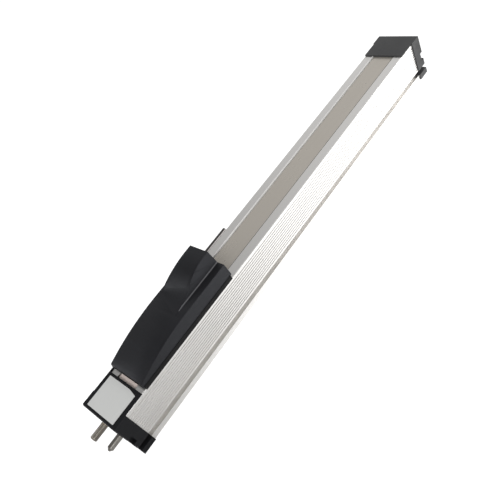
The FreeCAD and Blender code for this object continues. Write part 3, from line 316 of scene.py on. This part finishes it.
print("group helpers ready")

# %% [markdown]
# ### Die lines
#
# An extruded profile leaves its die with faint lines along its whole length. A noise that is
# stretched more than a hundred times along X gives them: it hardly changes along the housing and
# changes quickly across it. Broader and shorter bands vary the shade.

# %% Die lines
LINE_STRETCH = 0.006
BAND_STRETCH = 0.02
BAND_FINENESS = 260.0


def make_die_lines():
    """Lines along X. Height feeds a bump, Shade lightens and darkens."""
    inputs = {"Vector": 0, "Fineness": 1600.0}
    group, entry, leave = new_effect("die_lines", inputs, ["Height", "Shade"])
    lines = stretched(group, entry["Vector"], LINE_STRETCH, 1.0)
    height = noise(group, lines, entry["Fineness"], 3.0)
    bands = stretched(group, entry["Vector"], BAND_STRETCH, 1.0)
    shade = noise(group, bands, BAND_FINENESS, 2.0)
    group.links.new(height, leave["Height"])
    group.links.new(shade, leave["Shade"])
    return group


die_lines = make_die_lines()
print("effect", die_lines.name)

# %% [markdown]
# ### Mould grain
#
# The caps and the carriage cover come from a mould with a fine spark-eroded texture. It breaks up
# the gloss, so black plastic looks soft instead of wet. Two sizes of noise together look less
# regular than one.

# %% Mould grain
COARSE_FINENESS = 420.0
COARSE_SHARE = 0.35


def make_mould_grain():
    """Even fine grain in all directions."""
    inputs = {"Vector": 0, "Fineness": 2600.0}
    group, entry, leave = new_effect("mould_grain", inputs, ["Height", "Shade"])
    fine = noise(group, entry["Vector"], entry["Fineness"], 2.0)
    coarse = noise(group, entry["Vector"], COARSE_FINENESS, 3.0)
    height = calculation(group, "MULTIPLY_ADD", coarse, COARSE_SHARE, fine)
    group.links.new(height, leave["Height"])
    group.links.new(coarse, leave["Shade"])
    return group


mould_grain = make_mould_grain()
print("effect", mould_grain.name)

# %% [markdown]
# ### Handling haze
#
# Nothing that has been handled is evenly clean. A large, slow noise gives patches a few
# centimetres wide. A material uses it to vary its roughness, which shows only where light
# glances off. Most values of a noise lie near its middle, so that part is spread from 0 to 1.

# %% Handling haze
HAZE_MIDDLE = (0.35, 0.65)


def make_handling_haze():
    """Slow patches, from 0 to 1."""
    group, entry, leave = new_effect("handling_haze", {"Vector": 0, "Patches": 45.0}, ["Mask"])
    cloud = noise(group, entry["Vector"], entry["Patches"], 4.0)
    group.links.new(spread(group, cloud, 0.0, 1.0, *HAZE_MIDDLE), leave["Mask"])
    return group


handling_haze = make_handling_haze()
print("effect", handling_haze.name)

# %% [markdown]
# ### Rib shade
#
# Eleven shallow grooves part the twelve ribs. Their floors see less of the room, and at the
# picture's scale each is one fine dark line; here that shade is painted into the colour. Height
# above the table tells where a groove is: the ping-pong of height over pitch is zero in the middle
# of every groove. Towards the label end the painted lines fade out, as they do in the photograph.

# %% Rib shade
RIB_COUNT = 12
RIB_PITCH = 0.00232
FIRST_RIB = 0.0099
WALL_ASIDE = 0.0194
RIBS_FADE = (-0.18, -0.12)


def make_rib_shade():
    """A mask that is 1 in the grooves of both ribbed walls."""
    group, entry, leave = new_effect("rib_shade", {"Vector": 0, "Mouth": 0.24}, ["Mask"])
    place = coordinates(group, entry["Vector"])
    height = place["Z"]
    steps = calculation(group, "MULTIPLY_ADD", height, 1 / RIB_PITCH, -FIRST_RIB / RIB_PITCH)
    away = calculation(group, "PINGPONG", steps, 0.5)
    groove = calculation(group, "LESS_THAN", away, entry["Mouth"])
    middle = FIRST_RIB + RIB_PITCH * RIB_COUNT / 2
    ribbed = calculation(group, "COMPARE", height, middle, RIB_PITCH * (RIB_COUNT - 1) / 2)
    aside = calculation(group, "ABSOLUTE", place["Y"])
    wall = calculation(group, "GREATER_THAN", aside, WALL_ASIDE)
    both = calculation(group, "MULTIPLY", ribbed, wall)
    shown = spread(group, place["X"], 0.0, 1.0, *RIBS_FADE)
    faded = calculation(group, "MULTIPLY", both, shown)
    group.links.new(calculation(group, "MULTIPLY", groove, faded), leave["Mask"])
    return group


rib_shade = make_rib_shade()
print("effect", rib_shade.name)

# %% [markdown]
# ### Lip highlight
#
# The left rail ends in a thin lip over the slot. Its edge carries a painted highlight: a fine
# bright line beside the strip, faint at the label end and full beyond the carriage, made by
# turning the edge matt so that the lamps light it. The edge is known by its place: a narrow band
# across the housing, at the height of the rail's top.

# %% Rubbed lip
LIP_PLACE = 0.01155
LIP_HALF_WIDTH = 0.0003
LIP_HEIGHT = 0.0373
LIP_FADE = (-0.20, -0.06)


def make_lip_highlight():
    """A mask on the left rail's inner edge that grows along X."""
    group, entry, leave = new_effect("lip_highlight", {"Vector": 0}, ["Mask"])
    place = coordinates(group, entry["Vector"])
    edge = calculation(group, "COMPARE", place["Y"], LIP_PLACE, LIP_HALF_WIDTH)
    high = calculation(group, "GREATER_THAN", place["Z"], LIP_HEIGHT)
    there = calculation(group, "MULTIPLY", edge, high)
    growing = spread(group, place["X"], 0.0, 1.0, *LIP_FADE)
    group.links.new(calculation(group, "MULTIPLY", there, growing), leave["Mask"])
    return group


lip_highlight = make_lip_highlight()
print("effect", lip_highlight.name)

# %% [markdown]
# ### Foot highlight
#
# The hump rises from the shelf along a crisp edge of the mould. Its ridge carries a painted
# highlight: one thin grey line, straight along X.

# %% Foot line
FOOT_PLACE = -0.0119
FOOT_START = -0.1252
SHELF_HEIGHT = 0.0535
SHELF_MARGIN = 0.0006


def make_foot_highlight():
    """A mask along the hump's right foot."""
    inputs = {"Vector": 0, "Half width": 0.00032}
    group, entry, leave = new_effect("foot_highlight", inputs, ["Mask"])
    place = coordinates(group, entry["Vector"])
    near = calculation(group, "COMPARE", place["Y"], FOOT_PLACE, entry["Half width"])
    risen = calculation(group, "GREATER_THAN", place["X"], FOOT_START)
    level = calculation(group, "COMPARE", place["Z"], SHELF_HEIGHT, SHELF_MARGIN)
    both = calculation(group, "MULTIPLY", near, risen)
    group.links.new(calculation(group, "MULTIPLY", both, level), leave["Mask"])
    return group


foot_highlight = make_foot_highlight()
print("effect", foot_highlight.name)

# %% [markdown]
# ## From effects to a finish
#
# A finish takes three steps: an effect is placed in the material, its shade tints the colour, and
# its height raises a bump. The bump changes only how light falls on the surface, so the mesh
# stays as it is.

# %% Effect helpers
def place_effect(tree, group, **values):
    """The outputs of a node group that is read at the piece's own place."""
    node = tree.nodes.new("ShaderNodeGroup")
    node.node_tree = group
    tree.links.new(own_place(tree), node.inputs["Vector"])
    for label, value in values.items():
        node.inputs[label].default_value = value
    return node.outputs


def tint(tree, mask, dark, light):
    """A colour between two, chosen by a mask."""
    node = tree.nodes.new("ShaderNodeMix")
    node.data_type = "RGBA"
    node.inputs["A"].default_value = (*dark, 1.0)
    node.inputs["B"].default_value = (*light, 1.0)
    tree.links.new(mask, node.inputs["Factor"])
    return node.outputs["Result"]


def raised(tree, height, depth, surface):
    """A bump of a given depth in metres on the surface."""
    node = tree.nodes.new("ShaderNodeBump")
    node.inputs["Distance"].default_value = depth
    tree.links.new(height, node.inputs["Height"])
    tree.links.new(node.outputs["Normal"], surface.inputs["Normal"])


print("effect helpers ready")

# %% [markdown]
# ### One function for all
#
# Every finish here is built alike: one effect tints the colour a little and raises a bump, and
# the haze varies the roughness. So one function wires them, and each finish below only says which
# effect, which colour, how far it varies and how rough it is.

# %% Finish helper
HAZE_SWING = 0.12


def finish(
    name, effect, colour, variation, roughness, metallic=0.0, gloss=0.5, depth=0.00002, **values
):
    """A material made of one tinting effect, the haze, and a bump."""
    material, tree, surface = new_material(name)
    surface.inputs["Metallic"].default_value = metallic
    surface.inputs["Specular IOR Level"].default_value = gloss
    detail = place_effect(tree, effect, **values)
    dark = [channel * (1 - variation) for channel in colour]
    light = [channel * (1 + variation) for channel in colour]
    tree.links.new(tint(tree, detail["Shade"], dark, light), surface.inputs["Base Color"])
    haze = place_effect(tree, handling_haze)["Mask"]
    level = spread(tree, haze, roughness * (1 - HAZE_SWING), roughness * (1 + HAZE_SWING))
    tree.links.new(level, surface.inputs["Roughness"])
    raised(tree, detail["Height"], depth, surface)
    return material


print("finish helper ready")

# %% [markdown]
# ## Marks on a finish
#
# Some pieces carry a mark that their plain finish doesn't have: painted shade in the grooves,
# painted highlights on two edges, a painted stripe of light. A mask says where it is. One function
# lays another colour over the finish there, and one changes how far the surface is a mirror.

# %% Mark helpers
def recolour(material, mask, colour, blend="MIX"):
    """Lays a colour over a finish where the mask is 1."""
    tree = material.node_tree
    base = tree.nodes["Principled BSDF"].inputs["Base Color"]
    plain = base.links[0].from_socket
    layer = tree.nodes.new("ShaderNodeMix")
    layer.data_type = "RGBA"
    layer.blend_type = blend
    layer.inputs["B"].default_value = (*colour, 1.0)
    tree.links.new(plain, layer.inputs["A"])
    tree.links.new(mask, layer.inputs["Factor"])
    tree.links.new(layer.outputs["Result"], base)


def remirror(material, mask, metallic):
    """Gives a finish another metallic value where the mask is 1."""
    tree = material.node_tree
    mirror = tree.nodes["Principled BSDF"].inputs["Metallic"]
    tree.links.new(spread(tree, mask, mirror.default_value, metallic), mirror)


print("mark helpers ready")

# %% [markdown]
# ## The profile's anodising
#
# The profile is clear anodised: a satin grey that is brighter than bare metal in a white room. It
# takes the die lines, and painted shade in the grooves between the ribs. The lip's edge is made
# matt, so that it scatters light in place of mirroring the dark slot: a painted highlight.

# %% Profile
DRAWN_DEPTH = 0.000001
GROOVE_SHADE = (0.78, 0.78, 0.78)

profile_anodised = finish(
    "profile_anodised",
    die_lines,
    (0.84, 0.826, 0.806),
    variation=0.01,
    roughness=0.34,
    metallic=1.0,
    depth=DRAWN_DEPTH,
)
grooves = place_effect(profile_anodised.node_tree, rib_shade)["Mask"]
recolour(profile_anodised, grooves, GROOVE_SHADE, "MULTIPLY")
lip = place_effect(profile_anodised.node_tree, lip_highlight)["Mask"]
remirror(profile_anodised, lip, 0.0)
print("profile", profile_anodised.name)

# %% [markdown]
# ## The rolled strip
#
# The cover strip is a rolled band and looks warmer and darker than the profile, with finer lines.
# In the photograph the stretch beside the label is paler, as if it mirrored a brighter part of the
# studio. The tent has no such part, so that stretch gets a paler colour of its own, a painted
# reflection, and scatters light.

# %% Strip
STRIP_END = -0.18
STRIP_END_PALE = (0.76, 0.65, 0.60)

strip_rolled = finish(
    "strip_rolled",
    die_lines,
    (0.52, 0.484, 0.432),
    variation=0.03,
    roughness=0.30,
    metallic=0.6,
    depth=DRAWN_DEPTH,
    Fineness=3000.0,
)


def brighten_end(material):
    """Pales the strip between its near end and a place along X."""
    tree = material.node_tree
    along = coordinates(tree, own_place(tree))["X"]
    end = calculation(tree, "LESS_THAN", along, STRIP_END)
    recolour(material, end, STRIP_END_PALE)
    remirror(material, end, 0.0)


brighten_end(strip_rolled)
print("strip", strip_rolled.name)

# %% [markdown]
# ## Black mouldings
#
# The two caps and the carriage cover are glass-filled plastic. Black plastic is never fully
# black: its skin throws back a few percent of the white room, on the near cap and the cover a
# little bluer than it came. The two caps are of one plastic painted in two shades, the near one
# almost black and the far one dark grey: painted light and shade between the two ends. The cover
# is smoother than both, which shows on its crown.

# %% Caps and cover
COOL_SHINE = (0.9, 0.92, 1.0)

near_cap_moulding = finish(
    "near_cap_moulding", mould_grain, (0.006, 0.006, 0.0066), 0.15, 0.50, gloss=0.23
)
far_cap_moulding = finish(
    "far_cap_moulding", mould_grain, (0.045, 0.045, 0.046), 0.15, 0.50, gloss=0.3
)
cover_moulding = finish(
    "cover_moulding", mould_grain, (0.0065, 0.0066, 0.0078), 0.15, 0.42, gloss=0.44
)
for moulding in (near_cap_moulding, cover_moulding):
    surface = moulding.node_tree.nodes["Principled BSDF"]
    surface.inputs["Specular Tint"].default_value = (*COOL_SHINE, 1.0)
holder_moulding = finish("holder_moulding", mould_grain, (0.04, 0.04, 0.043), 0.2, 0.5, gloss=0.4)
print("mouldings", near_cap_moulding.name, far_cap_moulding.name, cover_moulding.name)

# %% [markdown]
# ### The highlight on the cover
#
# The painted foot highlight lies on the carriage cover alone. It is a dark grey that stands out
# only because the plastic round it is nearly black.

# %% Line on the cover
FOOT_HIGHLIGHT_GREY = (0.11, 0.11, 0.115)

foot_highlight_mask = place_effect(cover_moulding.node_tree, foot_highlight)["Mask"]
recolour(cover_moulding, foot_highlight_mask, FOOT_HIGHLIGHT_GREY)
print("foot line on", cover_moulding.name)

# %% [markdown]
# ## Label film
#
# The near cap carries a plain grey film with nothing on it. It is matt, with a faint mottle.

# %% Label
label_film = finish(
    "label_film", mould_grain, (0.56, 0.565, 0.555), 0.02, 0.55, gloss=0.3, depth=0.00001
)
print("label", label_film.name)

# %% [markdown]
# ## Turned and plated steel
#
# The stud, the pin and the screws are turned, so their fine lines go round them. These pieces
# are only a few millimetres thick and the picture can't show such lines, so an even fine grain
# with a metallic surface does the same job for less.

# %% Steels
stud_plated = finish("stud_plated", mould_grain, (0.38, 0.35, 0.31), 0.12, 0.34, metallic=1.0)
pin_turned = finish("pin_turned", mould_grain, (0.32, 0.305, 0.28), 0.08, 0.28, metallic=1.0)
screw_oiled = finish("screw_oiled", mould_grain, (0.10, 0.10, 0.105), 0.2, 0.38, metallic=1.0)
keeper_plated = finish("keeper_plated", mould_grain, (0.30, 0.30, 0.31), 0.1, 0.35, metallic=1.0)
print("steels", stud_plated.name, pin_turned.name, screw_oiled.name, keeper_plated.name)

# %% [markdown]
# ## The polished rod
#
# The photograph shows the drive rod dark with one bright stripe, where it mirrors a window
# behind the camera. The white tent has no such window, so the stripe is given by its place: a
# narrow band across the housing, on the upper half of the rod.

# %% Rod
ROD_AXIS_HEIGHT = 0.0324
STRIPE_PLACE = 0.0257
STRIPE_HALF_WIDTH = 0.0003
STRIPE_BRIGHT = (0.80, 0.75, 0.74)
STRIPE_METALLIC = 0.3

rod_polished = finish(
    "rod_polished",
    mould_grain,
    (0.11, 0.105, 0.10),
    variation=0.03,
    roughness=0.15,
    metallic=1.0,
    depth=0.000002,
)


def add_stripe(material):
    """A bright stripe along the rod's upper right side."""
    tree = material.node_tree
    place = coordinates(tree, own_place(tree))
    near = calculation(tree, "COMPARE", place["Y"], STRIPE_PLACE, STRIPE_HALF_WIDTH)
    upper = calculation(tree, "GREATER_THAN", place["Z"], ROD_AXIS_HEIGHT)
    stripe = calculation(tree, "MULTIPLY", near, upper)
    recolour(material, stripe, STRIPE_BRIGHT)
    remirror(material, stripe, STRIPE_METALLIC)


add_stripe(rod_polished)
print("rod", rod_polished.name)

# %% [markdown]
# ## Pieces inside and below
#
# Inside the housing lie the wire with its tube and holders, the coil and the circuit board, and
# below the cover the shoes, magnets and wipers. They show only when the sensor is opened in
# thought, but each still gets the finish of its real material.

# %% Inner finishes
insert_brass = finish("insert_brass", mould_grain, (0.50, 0.36, 0.14), 0.1, 0.32, metallic=1.0)
seal_rubber = finish("seal_rubber", mould_grain, (0.02, 0.02, 0.02), 0.2, 0.7, gloss=0.3)
holder_rubber = finish("holder_rubber", mould_grain, (0.16, 0.04, 0.03), 0.15, 0.65, gloss=0.3)
damper_rubber = finish("damper_rubber", mould_grain, (0.07, 0.07, 0.075), 0.15, 0.7, gloss=0.3)
wire_drawn = finish("wire_drawn", die_lines, (0.45, 0.42, 0.38), 0.05, 0.25, metallic=1.0)
tube_plastic = finish("tube_plastic", die_lines, (0.70, 0.68, 0.62), 0.04, 0.4, gloss=0.4)
bobbin_plastic = finish("bobbin_plastic", mould_grain, (0.50, 0.46, 0.36), 0.06, 0.45, gloss=0.4)
magnet_sintered = finish(
    "magnet_sintered", mould_grain, (0.09, 0.09, 0.095), 0.25, 0.45, metallic=0.7
)
tray_plastic = finish("tray_plastic", mould_grain, (0.60, 0.57, 0.48), 0.05, 0.45, gloss=0.4)
board_mask = finish("board_mask", mould_grain, (0.02, 0.13, 0.05), 0.12, 0.3)
component_case = finish("component_case", mould_grain, (0.03, 0.03, 0.03), 0.2, 0.45, gloss=0.4)
shoe_plastic = finish("shoe_plastic", mould_grain, (0.68, 0.65, 0.56), 0.04, 0.35)
wiper_felt = finish(
    "wiper_felt", mould_grain, (0.05, 0.05, 0.05), 0.5, 0.95, gloss=0.1, depth=0.0002
)
black_anodised = finish("black_anodised", die_lines, (0.010, 0.010, 0.012), 0.12, 0.42, gloss=0.2)
# Black for the bar of painted shade beside the carriage cover, not the finish of a real part.
shade_bar_black = finish("shade_bar_black", mould_grain, (0.006, 0.006, 0.006), 0.2, 0.6, gloss=0.2)
print("inner finishes ready")

# %% [markdown]
# ### Winding
#
# The pickup coil is hundreds of turns of enamelled copper. A wave of narrow bands along X raises
# them as a bump, in place of modelling each turn.

# %% Winding
WAVE_SCALE = 900.0
TURN_HEIGHT = 0.00008
COPPER_DARK = (0.22, 0.07, 0.03)
COPPER_LIGHT = (0.50, 0.20, 0.08)


def make_winding():
    """Copper with round turns raised by a wave."""
    material, tree, surface = new_material("coil_winding")
    surface.inputs["Metallic"].default_value = 0.8
    surface.inputs["Roughness"].default_value = 0.3
    wave = tree.nodes.new("ShaderNodeTexWave")
    wave.inputs["Scale"].default_value = WAVE_SCALE
    tree.links.new(own_place(tree), wave.inputs["Vector"])
    turns = wave.outputs["Fac"]
    tree.links.new(tint(tree, turns, COPPER_DARK, COPPER_LIGHT), surface.inputs["Base Color"])
    raised(tree, turns, TURN_HEIGHT, surface)
    return material


coil_winding = make_winding()
print("winding", coil_winding.name)

# %% [markdown]
# ## Dressing the solids
#
# Each solid takes its finish through its material slots. The mesh itself stays as it is. The
# stud is missing here, because a threaded one takes its place further down.

# %% Dress
FINISHES = {
    "profile_extrusion": profile_anodised,
    "cover_strip": strip_rolled,
    "type_label": label_film,
    "stud_insert": insert_brass,
    "locating_pin": pin_turned,
    "front_end_cap": near_cap_moulding,
    "rear_end_cap": far_cap_moulding,
    "front_gasket": seal_rubber,
    "rear_gasket": seal_rubber,
    "front_cap_screws": screw_oiled,
    "rear_cap_screws": screw_oiled,
    "waveguide_wire": wire_drawn,
    "waveguide_tube": tube_plastic,
    "waveguide_holders": holder_rubber,
    "coil_bobbin": bobbin_plastic,
    "pickup_coil": coil_winding,
    "bias_magnet": magnet_sintered,
    "damping_sleeve": damper_rubber,
    "wire_anchor": insert_brass,
    "board_tray": tray_plastic,
    "circuit_board": board_mask,
    "board_components": component_case,
    "carriage_cover": cover_moulding,
    "carriage_plate": black_anodised,
    "cover_screws": screw_oiled,
    "left_guide_shoe": shoe_plastic,
    "right_guide_shoe": shoe_plastic,
    "front_wiper": wiper_felt,
    "rear_wiper": wiper_felt,
    "magnet_holder": holder_moulding,
    "position_magnets": magnet_sintered,
    "magnet_keeper": keeper_plated,
    "rod_clamp": black_anodised,
    "clamp_screws": screw_oiled,
    "rod_set_screws": screw_oiled,
    "drive_rod": rod_polished,
}

for name, material in FINISHES.items():
    for slot in solids[name].material_slots:
        slot.material = material
print("dressed", len(FINISHES), "of", len(solids))

# %% [markdown]
# ## Softened edges
#
# No moulded or extruded edge is sharp, and a bright line along each one is what makes an object
# look real. The Weld modifier joins the facets' corners, and the Bevel modifier then rounds every
# edge that turns by more than the limit. Both leave the stored mesh alone.

# %% Soften
SOFT_EDGES = {
    "front_end_cap": 0.0004,
    "rear_end_cap": 0.0004,
    "carriage_cover": 0.0004,
    "rod_clamp": 0.0003,
    "carriage_plate": 0.0002,
}
SAME_CORNER = 0.00001
SHARP_TURN = math.radians(32)


def soften(name, width):
    """Rounds the sharp edges of a solid by modifiers."""
    piece = solids[name]
    weld = piece.modifiers.new("join_corners", "WELD")
    weld.merge_threshold = SAME_CORNER
    bevel = piece.modifiers.new("round_edges", "BEVEL")
    bevel.width = width
    bevel.segments = 2
    bevel.limit_method = "ANGLE"
    bevel.angle_limit = SHARP_TURN
    bevel.harden_normals = True


for name, width in SOFT_EDGES.items():
    soften(name, width)
print("softened", list(SOFT_EDGES))

# %% [markdown]
# ## The stud's thread
#
# A thread is a helix, so a plain cylinder won't do. Here rings of points lie close together along
# the stud, and each point is pushed in by the ridge's depth: that depends on how far along the
# stud and how far round it the point lies. The free end is rounded over like a real stud. The
# last nine millimetres sit in the cap's insert and stay plain and a little slimmer.

# %% Ridge
THREAD_PITCH = 0.001
THREAD_DEPTH = 0.0003
FLAT_SHARE = 0.12


def ridge(turn):
    """Depth below the crest at a share of one turn, a V with flats at top and bottom."""
    swing = abs((turn % 1.0) * 2 - 1)
    climb = (swing - FLAT_SHARE) / (1 - 2 * FLAT_SHARE)
    return THREAD_DEPTH * (1 - min(1.0, max(0.0, climb)))


print("depth at the root", ridge(0.5), "and at the crest", ridge(0.0))

# %% [markdown]
# ### Rings of points
#
# The points of all rings go into one list, ring after ring. The plain stud's box says where they
# start and end and how thick the stud is.

# %% Stud points
POINTS_AROUND = 32
RINGS_PER_TURN = 10
STUD_END_ROUND = 0.0011
SEAT_LENGTH = 0.0091
SEAT_STEP = 0.00025


def stud_points(low, high, rings):
    """Points round the stud's axis, ring by ring from low to high along X."""
    radius = (high[2] - low[2]) / 2
    middle = ((low[1] + high[1]) / 2, (low[2] + high[2]) / 2)
    length = high[0] - low[0]
    points = []
    for ring in range(rings + 1):
        along = length * ring / rings
        short = max(0.0, STUD_END_ROUND - along)
        dome = STUD_END_ROUND - math.sqrt(max(0.0, STUD_END_ROUND**2 - short**2))
        seated = length - along < SEAT_LENGTH
        for step in range(POINTS_AROUND):
            share = step / POINTS_AROUND
            cut = SEAT_STEP if seated else ridge(along / THREAD_PITCH + share)
            reach = radius - dome - cut
            y = middle[0] + reach * math.cos(2 * math.pi * share)
            z = middle[1] + reach * math.sin(2 * math.pi * share)
            points.append((low[0] + along, y, z))
    return points


low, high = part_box("fixing_stud")
rings = int((high[0] - low[0]) / THREAD_PITCH * RINGS_PER_TURN)
thread_points = stud_points(low, high, rings)
print("rings", rings, "points", len(thread_points))

# %% [markdown]
# ### Faces between the rings
#
# A face joins two neighbours of one ring with the two of the next, and one many-sided face closes
# each end. The finished stud stays with the housing and stands in for the plain one.

# %% Thread
def stud_faces(rings):
    """Four-sided faces between the rings, and one face over each end."""
    faces = [tuple(reversed(range(POINTS_AROUND)))]
    for ring in range(rings):
        for step in range(POINTS_AROUND):
            one = ring * POINTS_AROUND + step
            two = ring * POINTS_AROUND + (step + 1) % POINTS_AROUND
            faces.append((one, two, two + POINTS_AROUND, one + POINTS_AROUND))
    faces.append(tuple(range(rings * POINTS_AROUND, (rings + 1) * POINTS_AROUND)))
    return faces


stud = add_piece("stud_thread", thread_points, stud_faces(rings))
stud.data.shade_smooth()
stud.data.materials.append(stud_plated)
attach(stud, "housing")
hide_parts("fixing_stud")
print("thread", len(stud.data.polygons), "faces")

# %% [markdown]
# ## The shade bar
#
# In the photograph a thin black band runs between the carriage cover and the bright wall, one
# millimetre over the profile's edge. It is shade, and a black bar stands in for it as painted
# shade. It is a flat bar with a slanted lower edge, held by the cover's right edge, and it slides
# with it.

# %% Side lip
BAR_START = -0.1815
BAR_END = -0.0795
BAR_SECTION = (
    (-0.02022, 0.0422),
    (-0.02045, 0.0424),
    (-0.0206, 0.0421),
    (-0.0206, 0.0386),
    (-0.02035, 0.0382),
    (-0.02022, 0.0383),
)


def bar_faces(corners):
    """The two ends of a bar and the sides between them."""
    faces = [tuple(range(corners)), tuple(reversed(range(corners, corners * 2)))]
    for one in range(corners):
        two = (one + 1) % corners
        faces.append((two, one, one + corners, two + corners))
    return faces


bar_points = [(along, y, z) for along in (BAR_START, BAR_END) for y, z in BAR_SECTION]
side_lip = add_piece("side_lip", bar_points, bar_faces(len(BAR_SECTION)))
side_lip.data.materials.append(shade_bar_black)
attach(side_lip, "carriage")
print("side lip", round((BAR_END - BAR_START) * 1000, 1), "mm")
